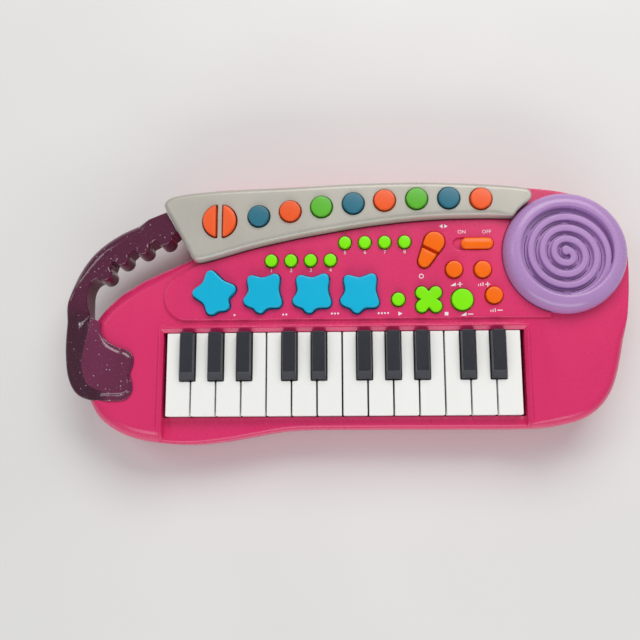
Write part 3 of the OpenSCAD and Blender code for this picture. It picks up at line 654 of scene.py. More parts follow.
def rubber():
    a = Mat("silicone_rubber")
    n = a.noise(700.0, 3.0)
    a.to("Base Color", a.ramp(n, [(0.3, srgb(104, 104, 108)), (0.7, srgb(126, 126, 130))]))
    a.to("Roughness", a.range(n, 0.3, 0.7, 0.6, 0.8))
    a.to("Normal", a.bump(n, 0.2, 0.00006))
    return a.m


def cells():
    a = Mat("sleeved_cells")
    s = a.node("ShaderNodeSeparateXYZ")
    a.link(a.co, s.inputs[0])
    band = a.range(a.math("PINGPONG", s.outputs[0], 0.0252), 0.0085, 0.0092, 0.0, 1.0)
    n = a.noise(300.0, 3.0)
    a.to("Base Color", a.mix(band, a.ramp(n, [(0.3, srgb(36, 38, 42)), (0.7, srgb(52, 54, 58))]), srgb(186, 140, 70)))
    a.to("Roughness", a.range(n, 0.3, 0.7, 0.22, 0.36))
    a.to("Normal", a.bump(n, 0.05, 0.00005))
    a.set(Metallic=0.4)
    return a.m


def cone_paper():
    a = Mat("speaker_cone")
    n = a.noise(600.0, 4.0, 0.7)
    a.to("Base Color", a.ramp(n, [(0.3, srgb(26, 25, 27)), (0.7, srgb(46, 44, 48))]))
    a.to("Roughness", a.range(n, 0.3, 0.7, 0.6, 0.85))
    a.to("Normal", a.bump(n, 0.3, 0.0001))
    return a.m


for node, mat in {"main_board": board(), "contact_mats": rubber(), "speaker_driver": cone_paper(), "batteries": cells(),
                  "battery_contacts": STEEL, "screws": STEEL, "key_rod": STEEL}.items():
    NODES[node].data.materials.clear()
    NODES[node].data.materials.append(mat)


# ---------------------------------------------------------------- upper case
def at(loop, u):
    """Points of a closed outline at fractional indices."""
    n = len(loop)
    i = np.floor(u).astype(int)
    t = (u - i)[:, None]
    return loop[i % n] * (1 - t) + loop[(i + 1) % n] * t


def crossing(loop, x):
    """Index at which the front of an outline passes x."""
    n = len(loop)
    for i in range(n):
        a, b = loop[i], loop[(i + 1) % n]
        if a[1] < 30 and a[0] <= x < b[0]:
            return i + (x - a[0]) / (b[0] - a[0])
    raise ValueError("no crossing")


def chain(loop, x0, x1, base):
    """Part of an outline between x0 and x1 on the front, either along the front or round the back, with the same number of points on every ring."""
    n = len(loop)
    u0, u1 = crossing(loop, x0), crossing(loop, x1)
    if u1 < u0:
        u1 += n
    return at(loop, np.linspace(u0, u1, base))


SIDE = BAY + 3.45                      # outer edge of the rim beside the keys
REAR = RAIL + 4.6                      # rear edge of the rim behind the keys
case_n = normals(CASE)


def case_ring(inset_by, z):
    return np.c_[CASE - np.asarray(inset_by, float).reshape(-1, 1) * case_n, np.broadcast_to(z, len(CASE))]


up = Shape()
# the edge between the top and the rolled side is crisp at the rear left and fades out towards the front
crease = unit((-84 - CASE[:, 0]) / 16) * unit((CASE[:, 1] - 44) / 30)
end_angle = np.radians(90 - 15 * crease)
cheek = [case_ring(np.full(len(CASE), 0.4), SPLIT), case_ring(np.zeros(len(CASE)), SPLIT + 0.4)]
for q in (0, 0.1, 0.2, 0.3, 0.4, 0.5, 0.6, 0.7, 0.8, 0.88, 0.94, 0.98, 1):
    turn = q * end_angle
    cheek.append(case_ring(CASE_ROLL * (1 - np.cos(turn)) / (1 - np.cos(end_angle)), TOP - 1.5 * CASE_ROLL * (1 - np.sin(turn) / np.sin(end_angle))))
cheek.append(case_ring(CASE_ROLL + 0.9, TOP))
N_BACK = 470
cheek = [chain(r, SIDE, -SIDE, N_BACK) for r in cheek]
up.strips(cheek, False)
lip = [case_ring(np.full(len(CASE), 0.4), SPLIT), case_ring(np.zeros(len(CASE)), SPLIT + 0.4)]
lip += [case_ring(np.full(len(CASE), 3.2 * (1 - math.cos(a))), LIP - 3.0 * (1 - math.sin(a))) for a in np.radians(np.linspace(0, 90, 9))]
lip.append(case_ring(np.full(len(CASE), 3.9), LIP))
lip = [chain(r, -SIDE, SIDE, 170) for r in lip]
up.strips(lip, False)
# shelf of the lip, and its rear edge
shelf = np.vstack([lip[-1][:, :2], [(SIDE, -0.8), (-SIDE, -0.8)]])
up.plate(shelf, [], LIP)
edge_x = np.linspace(-SIDE, SIDE, 40)
up.strips([np.c_[edge_x, np.full(40, -0.8), np.full(40, LIP)], np.c_[edge_x, np.full(40, -0.35), np.full(40, LIP - 0.45)], np.c_[edge_x, np.full(40, -0.35), np.full(40, LIP - 3)]], False)

# flat top, with the raised panel's place and the holes under the bar and the speaker cover left open
top_chain = cheek[-1][:, :2]
top_loop = np.vstack([top_chain, [(-SIDE, REAR), (SIDE, REAR)]])
near_edge = np.minimum(distance(PANEL_LOOP, ARCH_LOOP), np.abs(np.linalg.norm(PANEL_LOOP - COVER, axis=1) - COVER_R))
PANEL_W = 0.35 + 0.75 * ease((near_edge - 1.2) / 7)
hidden_holes = [circle(c, 2.6, 24) for c in tone_places] + [circle(RECORD + (s, 0), 3.2, 24) for s in (-6, 6)] + [circle(COVER, 24, 72)]
up.plate(top_loop, [grow(PANEL_LOOP, 0.5 * unit(PANEL_W))] + hidden_holes, TOP)
for h in hidden_holes:
    up.wall(h, TOP - WALL, TOP, True)

# rim round three sides of the keys, sloping down towards them, with mitred corners
section = [(0, -3.2), (0, -1.5), (0.15, -1.2), (0.4, -1.0), (2.2, 0.28), (2.6, 0.5), (3.0, 0.56), (3.4, 0.48), (3.75, 0.22), (4.0, 0.0), (4.6, 0.0)]


def rim_stations(x):
    whole = np.array([r[0 if x > 0 else -1] for r in cheek])[:, 1:]
    prof = whole[whole[:, 1] > LIP + 0.5]
    low_z = np.array((LIP - 1.4, LIP - 0.7, LIP, LIP + 0.3))
    prof = np.vstack([np.c_[np.interp(low_z, whole[:-1, 1], whole[:-1, 0]), low_z], prof])
    back = np.linspace(prof[-1, 0], RAIL, 16)[1:-1]
    line = np.vstack([prof, np.c_[back, np.full(len(back), TOP)]])
    d = np.gradient(line, axis=0)
    n = np.stack([-d[:, 1], d[:, 0]], 1)
    n /= np.linalg.norm(n, axis=1)[:, None]
    n *= np.sign(n[:, 1:2] + 1e-9)
    return line, n


left, left_n = rim_stations(-1)
right, right_n = rim_stations(1)
rim_rows = []
for a, b in section:
    row = [(-BAY - 0.75 * a, y + b * n[0], z + b * n[1]) for (y, z), n in zip(left, left_n)]
    row += [(-BAY - 0.75 * a, RAIL + a, TOP + b)]
    row += [(x, RAIL + a, TOP + b) for x in np.linspace(-BAY + 6, BAY - 6, 24)]
    row += [(BAY + 0.75 * a, RAIL + a, TOP + b)]
    row += [(BAY + 0.75 * a, y + b * n[0], z + b * n[1]) for (y, z), n in zip(right[::-1], right_n[::-1])]
    rim_rows.append(np.array(row))
up.strips(rim_rows, False)
# walls of the key bay
for x, line, n in ((-BAY, left, left_n), (BAY, right, right_n)):
    edge = np.array([(y - 3.2 * m[0], z - 3.2 * m[1]) for (y, z), m in zip(line, n)])
    edge = edge[edge[:, 1] > LIP - 0.2]
    poly = np.vstack([edge, [(RAIL + 1.6, TOP - 3.2), (RAIL + 1.6, 23), (-0.35, 23), (-0.35, LIP - 0.6), (edge[0, 0], LIP - 0.6)]])
    v, f = cut([poly], [], lambda c: inside(c, poly))
    up.add(np.c_[np.full(len(v), x), v], f, x > 0)
xs = np.linspace(-BAY, BAY, 30)
up.strips([np.c_[xs, np.full(30, RAIL + 7), np.full(30, TOP - 3.2)], np.c_[xs, np.full(30, RAIL), np.full(30, TOP - 3.2)]], False)

# raised control panel
panel_n = normals(PANEL_LOOP)
step = [np.c_[PANEL_LOOP + 0.5 * unit(PANEL_W)[:, None] * panel_n, np.full(len(PANEL_LOOP), TOP)],
        np.c_[PANEL_LOOP + 0.15 * unit(PANEL_W)[:, None] * panel_n, np.full(len(PANEL_LOOP), TOP + 0.12)]]
for a in np.radians(np.linspace(0, 90, 7)):
    step.append(np.c_[PANEL_LOOP - (PANEL_W * (1 - math.cos(a)))[:, None] * panel_n, PANEL - np.minimum(PANEL_W, 1.6) * (1 - math.sin(a))])
step.append(np.c_[PANEL_LOOP - (PANEL_W + 0.6)[:, None] * panel_n, np.full(len(PANEL_LOOP), PANEL)])
up.strips(step)
holes = [circle(c, 3.75 + GAP, 48) for c in lower_row + upper_row] + [circle(c, r + GAP, 56) for c, r in
         ((VOL_UP, 5.05), (TEMPO_UP, 5.05), (TEMPO_DOWN, 5.1), (VOL_DOWN, 6.5), (DEMO, 3.95))]
holes += [clover(3.75 + GAP)] + [star(i, GAP) for i in range(4)] + [egg(0.1)]
recess = pill(SLIDER - (TRAVEL / 2, 0), 19.8 + TRAVEL + 1, 6.9 + 1)
RIM = 0.35
panel_flat = step[-1][:, :2]
up.plate(panel_flat, [grow(h, RIM + 0.3) for h in holes + [recess]], PANEL)


def hole_rim(h, z0):
    n = normals(h)
    rows = [np.c_[h, np.full(len(h), z0)]]
    rows += [np.c_[h + RIM * (1 - math.cos(a)) * n, np.full(len(h), PANEL - RIM * (1 - math.sin(a)))] for a in np.radians((0, 30, 60, 90))]
    up.strips(rows + [np.c_[h + (RIM + 0.3) * n, np.full(len(h), PANEL)]], True, True)


for h in holes:
    hole_rim(h, PANEL - WALL)
hole_rim(recess, PANEL - 1.4)
slot_hole = rect(SLIDER[0] - 3.4 - TRAVEL, SLIDER[0] + 3.4, SLIDER[1] - 1.6, SLIDER[1] + 1.6, 0.8)
up.plate(recess, [slot_hole], PANEL - 1.4)
up.wall(slot_hole, PANEL - WALL, PANEL - 1.4, True)
me = up.mesh("upper_case_shell", tidy=False)
upper = finish_piece("upper_case_shell", me, PINK, "case", ["upper_case"], weighted=False)
m = upper.modifiers.new("thickness", "SOLIDIFY")
m.thickness, m.offset, m.use_even_offset = 0.0008, -1.0, False
m = upper.modifiers.new("normals", "WEIGHTED_NORMAL")
m.mode, m.weight, m.keep_sharp = "FACE_AREA", 50, True

# ---------------------------------------------------------------- lower case
bosses = [(-150, 22), (-126, 56), (-121, 0), (121, 1), (153, 48), (-96, 127), (-10, 139.4), (104, 137.6)]
feet = [(-138, 16), (140, 16), (-84, 128), (146, 122)]
low = Shape()
ones = np.ones(len(CASE))
by_bore = [ease((np.linalg.norm(CASE - c, axis=1) - 6) / 14) for c in ((-10, 145.2), (104, 142.3))]
round_w = np.minimum(1.8 + 1.4 * by_bore[0], 0.8 + 2.4 * by_bore[1])        # tighter rounding beside the two rear screw holes
inner_w = np.minimum(WALL, 0.7 + (WALL - 0.7) * by_bore[1])
rings = [case_ring(round_w * (1 - math.cos(a)), 6.6 - 4.6 * math.sin(a)) for a in np.radians(np.linspace(90, 0, 9))]
rings += [case_ring(0 * ones, SPLIT - 0.4), case_ring(0.4 * ones, SPLIT), case_ring(inner_w, SPLIT), case_ring(inner_w, 4.2)]
low.strips(rings)
bore = [circle(c, 3.3, 40) for c in bosses]
door = rect(14.5, 77.5, 80.5, 135.5, 2.0)
bay_in = rect(18, 74, 84, 132, 1.0)
foot_loops = [circle(c, 6.5, 48) for c in feet]
floor_loop = rings[0][:, :2]
low.plate(floor_loop, [grow(b, 0.3) for b in bore] + [door] + foot_loops, 2.0, False)
for b, c in zip(bore, bosses):
    low.strips([np.c_[grow(b, 0.3), np.full(40, 2.0)], np.c_[b, np.full(40, 2.3)], np.c_[b, np.full(40, 6.0)], np.c_[circle(c, 1.7, 40), np.full(40, 6.0)], np.c_[circle(c, 1.7, 40), np.full(40, 17.0)]])
    low.strips([np.c_[circle(c, 3.6, 40), np.full(40, 4.2)], np.c_[circle(c, 3.6, 40), np.full(40, 17.5)], np.c_[circle(c, 1.7, 40), np.full(40, 17.5)], np.c_[circle(c, 1.7, 40), np.full(40, 17.0)]])
low.wall(door, 2.0, 3.0, True)
low.plate(door, [bay_in], 3.0, False)
low.wall(bay_in, 3.0, 19.4, True)
outer_box = rect(16, 76, 82, 134, 2.0)
low.wall(outer_box, 4.2, 19.4)
low.plate(outer_box, [bay_in], 19.4)
low.plate(rings[-1][:, :2], [outer_box] + [circle(c, 3.6, 40) for c in bosses], 4.2)
for l, c in zip(foot_loops, feet):
    low.strips([np.c_[grow(l, -d), np.full(48, z)] for d, z in ((0.9, 0.0), (0.35, 0.15), (0.08, 0.5), (0.0, 0.9), (0.0, 2.0))])
    low.plate(grow(l, -3.0), [], 0.25, False)
    low.strips([np.c_[grow(l, -3.0), np.full(48, 0.25)], np.c_[grow(l, -2.7), np.full(48, 0.0)], np.c_[grow(l, -0.9), np.full(48, 0.0)]])
finish_piece("lower_case_shell", low.mesh("lower_case_shell"), PINK, "case", ["lower_case"])

# battery cover: rounded plate with grip ribs in a thumb hollow
cover = Shape()
lid = rect(14.9, 77.1, 80.9, 135.1, 1.8)
cover.strips([np.c_[grow(lid, -0.35), np.full(len(lid), 2.0)], np.c_[grow(lid, -0.1), np.full(len(lid), 2.1)], np.c_[lid, np.full(len(lid), 2.35)], np.c_[lid, np.full(len(lid), 2.9)]])
thumb = rect(36, 56, 85, 98, 4.0)
cover.plate(grow(lid, -0.35), [thumb], 2.0, False)
cover.strips([np.c_[thumb, np.full(len(thumb), 2.0)], np.c_[grow(thumb, -0.5), np.full(len(thumb), 2.5)]])
cover.plate(grow(thumb, -0.5), [], 2.5, False)
for y in (87.2, 89.8, 92.4, 95):
    bar = pill((46, y), 15, 1.3)
    cover.strips([np.c_[grow(bar, -0.3), np.full(len(bar), 2.05)], np.c_[bar, np.full(len(bar), 2.25)], np.c_[bar, np.full(len(bar), 2.6)]])
    cover.plate(grow(bar, -0.3), [], 2.05, False)
    cover.plate(bar, [], 2.6)
inner_lid = rect(18.4, 73.6, 84.4, 131.6, 1.0)
cover.plate(lid, [inner_lid], 2.9)
cover.wall(inner_lid, 2.9, 4.0)
cover.plate(inner_lid, [], 4.0)
finish_piece("battery_cover_lid", cover.mesh("battery_cover_lid"), PINK, "battery_cover", ["battery_cover"])

# ---------------------------------------------------------------- arched bar
bar = Shape()
tone_holes = [circle(c, 6.4 + GAP, 64) for c in tone_places]
disc_holes = [half_disc(11.0, 1.4, 1), half_disc(11.0, 1.4, -1)]
bar_holes = tone_holes + disc_holes
BW, HR = 3.6, 0.5


def bar_height(v, d):
    near_cover = ease((np.linalg.norm(v - COVER, axis=1) - COVER_R - 2) / 10)
    w = 1.2 + (BW - 1.2) * near_cover
    e = unit(d[0] / w)
    z = ARCH - w * (1 - np.sqrt(np.maximum(1 - (1 - e) ** 2, 0)))
    for h in d[1:]:
        e = unit(h / HR)
        z = np.minimum(z, ARCH - HR * (1 - np.sqrt(np.maximum(1 - (1 - e) ** 2, 0))))
    return z


bar.skin(ARCH_LOOP, bar_holes, [0.06, 0.25, 0.55, 0.95, 1.45, 2.05, 2.75, 3.6], [0.07, 0.25, 0.5], bar_height)
edge_z = bar_height(ARCH_LOOP, [np.zeros(len(ARCH_LOOP))])
inner_bar = rounded(grow(ARCH_LOOP, -2.3), 0.5)
bar.strips([np.c_[inner_bar, np.full(len(inner_bar), ARCH - WALL)], np.c_[inner_bar, np.full(len(inner_bar), TOP + 0.02)],
            np.c_[grow(ARCH_LOOP, -0.3), np.full(len(ARCH_LOOP), TOP + 0.02)], np.c_[ARCH_LOOP, np.full(len(ARCH_LOOP), TOP + 0.35)], np.c_[ARCH_LOOP, edge_z]])
for h in bar_holes:
    bar.wall(h, ARCH - WALL, ARCH - HR, True)
bar.plate(inner_bar, bar_holes, ARCH - WALL, False)
finish_piece("silver_bar", bar.mesh("silver_bar", tidy=False), SILVER, "case", ["arch_panel"])

# ---------------------------------------------------------------- speaker cover
dome = Shape()
H = TOP + 11.0
COIL, COIL_W, FLOOR, BASE, RING_IN = 6.95, 3.6, H - 5.6, H - 7.4, 27.6
ROUND_W, ROUND_H = 0.9, 0.7             # rounding of the ridge's edges
LOW = np.array((0.0, -COIL / 2))
ring_profile = np.array([(RING_IN, H - 1.5), (RING_IN + 0.06, H - 0.95), (RING_IN + 0.3, H - 0.55), (28.4, H - 0.22), (29.3, H - 0.04), (30.3, H - 0.06), (31.5, H - 0.3), (33.2, H - 1.0), (34.8, H - 2.2),
                         (36, H - 3.7), (36.9, H - 5.6), (37.4, H - 8.0), (37.5, TOP + 0.4), (37.2, TOP)])


def open_spline(p, n):
    q = np.vstack([2 * p[0] - p[1], p, 2 * p[-1] - p[-2]])
    out = []
    for i in range(len(p) - 1):
        a, b, c, d = q[i:i + 4]
        for t in np.linspace(0, 1, n, endpoint=False):
            out.append(0.5 * (2 * b + (c - a) * t + (2 * a - 5 * b + 4 * c - d) * t**2 + (3 * b - a - 3 * c + d) * t**3))
    return np.array(out + [p[-1]])


def coil_point(a, off):
    """Point beside the middle of the spiral ridge: left half turns about the middle of the cover, right ones about a lower point."""
    m = math.floor((a + 90) / 180)
    t = math.radians(a)
    return (LOW if m % 2 == 0 else LOW * 0) + (21.4 + (1 - m) * COIL / 2 + off) * np.array((math.cos(t), math.sin(t)))


def coil_height(p):
    """Height inside the ring: a flat-topped spiral ridge with rounded edges and steep sides down to the floor."""
    left = p[:, 0] <= 1e-9
    ra, rb = np.linalg.norm(p, axis=1), np.linalg.norm(p - LOW, axis=1)
    d = np.linalg.norm(p - (0, 0.5), axis=1) - 2.7 + COIL_W / 2
    for k in range(3):
        d = np.where(left, np.minimum(d, np.abs(ra - 21.4 + k * COIL)), d)
    for k in range(-1, 3):
        d = np.where(left, d, np.minimum(d, np.abs(rb - 21.4 + (k + 0.5) * COIL)))
    over = COIL_W / 2 - d
    e = unit(over / ROUND_W)
    top = H - 2.6 - ROUND_H * (1 - np.sqrt(np.maximum(1 - (1 - e) ** 2, 0)))
    return np.where(over > -1e-9, top, FLOOR + (H - 2.6 - ROUND_H - FLOOR) * unit((over + 0.12) / 0.12))


half_ridge = [COIL_W / 2 - ROUND_W * (1 - math.cos(t)) for t in np.radians((0, 18, 36, 54, 72, 90))] + [COIL_W / 2 - ROUND_W - 0.25]
half_ridge = [2.4, COIL_W / 2 + 0.12] + half_ridge
across_ridge = np.array([-t for t in half_ridge] + [0] + half_ridge)
pts = [(0.0, 0.5)]
for a in np.arange(90, 271, 2.5):
    u = np.array((math.cos(math.radians(a)), math.sin(math.radians(a))))
    for r in np.concatenate([21.4 - k * COIL + across_ridge for k in range(3)] + [[26.6, 25.4, 24.4]]):
        pts.append(tuple(u * r))
for a in np.arange(-87.5, 88, 2.5):
    u = np.array((math.cos(math.radians(a)), math.sin(math.radians(a))))
    for r in np.concatenate([21.4 - (k + 0.5) * COIL + across_ridge for k in range(-1, 3)] + [[28.4, 29.6]]):
        if r > 0.3:
            pts.append(tuple(LOW + u * r))
pts = np.array(pts)
blob = np.linalg.norm(pts - (0, 0.5), axis=1)
pts = pts[((blob > 3.2) | (blob < 0.1)) & (np.linalg.norm(pts, axis=1) < RING_IN - 0.4)]
pts = np.vstack([pts] + [circle((0, 0.5), r, 40) for r in [0.9 + t for t in half_ridge[1:]]])
NA = 360
rim_in = circle((0, 0), RING_IN - 0.12, NA)
slots = []
for a in range(-265, 936, 60):
    b = np.linspace(a, a + 50, 22)
    l = np.vstack([[coil_point(t, -COIL / 2 + 0.2) for t in b], [coil_point(t, -COIL / 2 - 0.2) for t in b[::-1]]])
    slots.append(rounded(even(l, 0.2), 0.12))
for l in slots:
    pts = pts[distance(pts, l) > 0.22]
v, f = cut([rim_in] + slots, pts, lambda c: inside(c, rim_in) & ~np.any([inside(c, l) for l in slots], 0))
dome.add(np.c_[v + COVER, coil_height(v)], f)
for l in slots:
    dome.wall(l + COVER, BASE, FLOOR, True)
theta = np.arange(NA) * 2 * np.pi / NA
ring = np.stack([np.cos(theta), np.sin(theta)], 1)
ring_rows = [np.c_[rim_in + COVER, coil_height(rim_in)]]
ring_rows += [np.c_[COVER + r * ring, np.full(NA, z)] for r, z in open_spline(ring_profile, 5)]
ring_rows += [np.c_[COVER + r * ring, np.full(NA, z)] for r, z in ((35.4, TOP), (34.9, H - 7), (33.2, H - 3.6), (31.6, H - 2.5), (30.4, H - 2.9), (29.6, H - 5), (29.0, BASE))]
dome.strips(ring_rows, True, False)
dome.plate(circle(COVER, 29.0, NA), [l + COVER for l in slots], BASE, False)
finish_piece("spiral_cover", dome.mesh("spiral_cover", weld=0.004, tidy=True), LAVENDER, "case", ["speaker_grille"], sharp=60)

# ---------------------------------------------------------------- carry handle
grip = Shape()
case_out = grow(CASE, 0.3)
arch_out = grow(ARCH_LOOP, 0.4)
pts = []
for d in (0.06, 0.2, 0.5, 0.8, 1.0, 1.07, 1.25, 1.6, 2.1, 2.7, 3.4, 3.48, 3.75, 4.2, 5.2, 6.4, 7.2, 7.6, 8.0, 8.6, 9.0, 9.4):
    p = grow(HANDLE, -d)
    pts.append(p[inside(p, HANDLE) & (distance(p, HANDLE) > 0.95 * d)])
lo, hi = HANDLE.min(0), HANDLE.max(0)
g = np.array([(x + (0.9 if j % 2 else 0), y) for j, y in enumerate(np.arange(lo[1], hi[1], 1.56)) for x in np.arange(lo[0], hi[0], 1.8)])
g = g[inside(g, HANDLE)]
pts.append(g[distance(g, HANDLE) > 10.2])
pts = np.vstack(pts)
# outer edge of the pad's plateau, with a narrow band of points along it
brow = open_spline(np.array([(-158.6, 69), (-156.6, 62), (-156.2, 57), (-156.8, 50.5), (-159.3, 38.1), (-159.4, 29.7), (-155.9, 20.4), (-149.7, 16.6), (-143, 14.3), (-137, 13.4)]), 14)
across = np.gradient(brow, axis=0)
across = np.stack([-across[:, 1], across[:, 0]], 1) / np.linalg.norm(across, axis=1)[:, None]
brow_band = np.vstack([brow + d * across for d in (-0.35, 0, 0.35)])
brow_gap = lambda p: np.sqrt(((p[:, None, :] - brow[None]) ** 2).sum(2)).min(1)
pts = np.vstack([pts[brow_gap(pts) > 0.75], brow_band])
pts = pts[(distance(pts, case_out) > 0.35) & (distance(pts, arch_out) > 0.35)]
v, f = cut([HANDLE, case_out, arch_out], pts, lambda c: inside(c, HANDLE) & ~inside(c, arch_out))
used = np.unique(f)
remap = np.full(len(v), -1)
remap[used] = np.arange(len(used))
v, f = v[used], remap[f]
d_edge, d_case, in_case = distance(v, HANDLE), distance(v, case_out), inside(v, case_out)
outside_by = np.where(in_case, -d_case, d_case)
off, far = ease((outside_by + 2) / 9), ease((outside_by - 14) / 10)
pad = 1 - ease((v[:, 1] - 58) / 14)
plateau = np.vstack([brow, [(-120, 12), (-120, 74), (-150, 74)]])
outer = unit((-140 - v[:, 0]) / 20)
w_top = pad * (3.4 + 9.0 * outer) + (1 - pad) * (1.3 + 4.5 * far)
h_top = pad * (2.2 + 5.0 * outer) + (1 - pad) * (1.3 + 5.3 * far)


def bulge(t):
    return np.sqrt(np.maximum(1 - (1 - unit(t)) ** 2, 0))


# a wide round-over with a crisp inner line, and on top of the case a low flange round a raised plateau
e = unit(d_edge / w_top)
steep = pad * ease(2 * outer)
e_pad = np.where(inside(v, plateau) | (brow_gap(v) < 0.02), 1.0, d_edge / (d_edge + brow_gap(v)))
free_top = 40.4 - h_top * (1 - steep * (0.85 * e_pad + 0.15 * bulge(e_pad / 0.12)) - (1 - steep) * bulge(0.76 * e) / bulge(np.array(0.76)))
broad = 1.0 + 2.4 * (1 - ease((v[:, 1] - 12) / 6))
flange = np.maximum(38.2 - 0.5 * (1 - bulge(d_edge / 0.5)), np.where(d_edge > broad, 38.2 + 2.2 * bulge((d_edge - broad) / 5.0), 0))
on_case = pad * (1 - np.maximum(ease((outside_by + 3) / 7), ease(1.6 * outer)))
top_z = free_top * (1 - on_case) + flange * on_case
i_near = np.array([np.argmin(((CASE - q) ** 2).sum(1)) for q in v])
w_roll = CASE_ROLL[i_near]
cos_t = unit(1 - np.maximum(d_case - 0.3, 0) / w_roll)
under_case = np.maximum(TOP - 1.5 * w_roll * (1 - np.sqrt(1 - cos_t**2)) + 0.35, 23.0)
eb = unit(d_edge / w_top)
under_free = 22.0 + 0.7 * h_top * (1 - np.sqrt(np.maximum(1 - (1 - eb) ** 2, 0)))
tri_in = inside(v[f].mean(1), case_out)
grip.add(np.c_[v, top_z], f)
grip.add(np.c_[v, np.minimum(under_case, top_z - 0.6)], f[tri_in], True)
grip.add(np.c_[v, under_free], f[~tri_in], True)
sides = {}
for k, t in enumerate(f):
    for i in range(3):
        a, b = int(t[i]), int(t[(i + 1) % 3])
        sides.setdefault((min(a, b), max(a, b)), []).append((k, a, b))
uc = np.minimum(under_case, top_z - 0.6)
for use in sides.values():
    if len(use) == 1:
        k, a, b = use[0]
        lowz = uc if tri_in[k] else under_free
        grip.add([(*v[a], lowz[a]), (*v[b], lowz[b]), (*v[b], top_z[b]), (*v[a], top_z[a])], [(0, 1, 2, 3)])
    elif tri_in[use[0][0]] != tri_in[use[1][0]]:
        k, a, b = use[0] if not tri_in[use[0][0]] else use[1]
        grip.add([(*v[a], under_free[a]), (*v[b], under_free[b]), (*v[b], uc[b]), (*v[a], uc[a])], [(0, 1, 2, 3)])
me = grip.mesh("glitter_handle", weld=0.003, tidy=True)
q = np.array([x.co[:2] for x in me.vertices]) * 1000 - np.array(SHIFT[:2])
pad = 1 - ease((q[:, 1] - 58) / 14)
# Painted shade, kept as a vertex attribute: full on the sloping skirt beyond the plateau line at the left end, and 0.6
# on the strip outside the pad.
shaded_skirt = np.where(inside(q, plateau), 0.0, unit(brow_gap(q) / 0.35)) * ease(2 * unit((-140 - q[:, 0]) / 20))
painted_shade = pad * shaded_skirt + (1 - pad) * 0.6
me.attributes.new("painted_shade", "FLOAT", "POINT").data.foreach_set("value", painted_shade.astype(np.float32))
finish_piece("glitter_handle", me, HANDLE_MAT, "case", ["carry_handle"], sharp=50)

# ---------------------------------------------------------------- keys
PITCH, KEY_GAP, KEY_TOP = 15.5, 0.8, 36.0
black_after, black_shift = [0, 1, 2, 4, 5, 7, 8, 9, 11, 12], [-2, 0, 2, -1.3, 1.3, -2, 0, 2, -1.3, 1.3]
white_x = lambda i: (i - 7) * PITCH
black_x = [white_x(black_after[k] + 1) + black_shift[k] for k in range(10)]
HINGE = circle((57.5, 31.0), 1.55, 24)
tail_poly = [(50.5, 29.6), (53, 28.8), (60, 28.8), (60, 33), (50.5, 33)]


def key_mesh(shape, name, width, where=None):
    return bevelled(shape.mesh(name, tidy=True), width, 3, 30.0, where)


for i in range(14):
    x0, x1 = white_x(i) + KEY_GAP / 2 + 0.1, white_x(i + 1) - KEY_GAP / 2 - 0.1
    t0 = black_x[black_after.index(i - 1)] + 5.05 if i - 1 in black_after else x0
    t1 = black_x[black_after.index(i)] - 5.05 if i in black_after else x1
    poly = [(x0, 0), (x1, 0)] + ([(x1, 21.1), (t1, 21.1)] if t1 < x1 - 0.1 else []) + [(t1, 51), (t0, 51)] + ([(t0, 21.1), (x0, 21.1)] if t0 > x0 + 0.1 else [])
    poly = np.array(poly, float)
    s = Shape()
    s.plate(poly, [], KEY_TOP)
    s.plate(poly, [], 30.0, False)
    s.wall(poly, 30.0, KEY_TOP)
    name = "white_key_%02d" % (i + 1)
    me = key_mesh(s, name + "_top", 0.55, lambda e: max(v.co.z for v in e.verts) > 0.0355)
    extra = Shape()
    extra.box(x0 + 0.02, x1 - 0.02, 0.02, 20.9, 27.0, 30.4, 0.4)
    extra.across(tail_poly, [HINGE], t0 + 0.05, t1 - 0.05)
    extra.lathe(((t0 + t1) / 2, 30), [(0, 27.0), (1.3, 27.0), (1.6, 27.3), (1.6, 30.2), (0, 30.2)], 20)
    bm = bmesh.new()
    bm.from_mesh(me)
    bm.from_mesh(extra.mesh(name + "_tail"))
    bm.to_mesh(me)
    bm.free()
    finish_piece(name + "_cap", me, WHITE, name, [name], sharp=50)

for k in range(10):
    c, w, b = black_x[k], 9.1 / 2, 0.8
    z0, z1, y0, y1 = 30.0, 41.5, 21.6, 51.0
    # front slope, upright lower front, tapered sides
    pts = np.array([(c - w, y0, z0), (c + w, y0, z0), (c + w, y1, z0), (c - w, y1, z0),
                    (c - w, y0, 36.2), (c + w, y0, 36.2), (c + w, y1, 36.2), (c - w, y1, 36.2),
                    (c - w + b, y0 + 4.6, z1), (c + w - b, y0 + 4.6, z1), (c + w - b, y1, z1), (c - w + b, y1, z1),
                    (c - w + 0.3, y0 + 0.7, 37.6), (c + w - 0.3, y0 + 0.7, 37.6)])
    faces = [(3, 2, 1, 0), (0, 1, 5, 4), (2, 3, 7, 6), (4, 5, 13, 12), (12, 13, 9, 8), (8, 9, 10, 11), (6, 7, 11, 10), (1, 2, 6, 5), (3, 0, 4, 7),
             (5, 6, 10, 9, 13), (7, 4, 12, 8, 11)]
    s = Shape()
    s.add(pts, faces)
    name = "black_key_%02d" % (k + 1)
    me = s.mesh(name + "_body", tidy=True)
    bevelled(me, 0.5, 3, 12.0, lambda e: max(v.co.z for v in e.verts) > 0.0315)
    extra = Shape()
    extra.across(tail_poly, [HINGE], c - w + 0.1, c + w - 0.1)
    extra.lathe((c, 38), [(0, 27.3), (1.3, 27.3), (1.6, 27.6), (1.6, 30.2), (0, 30.2)], 20)
    bm = bmesh.new()
    bm.from_mesh(me)
    bm.from_mesh(extra.mesh(name + "_tail"))
    bm.to_mesh(me)
    bm.free()
    finish_piece(name + "_cap", me, BLACK, name, [name], sharp=50)


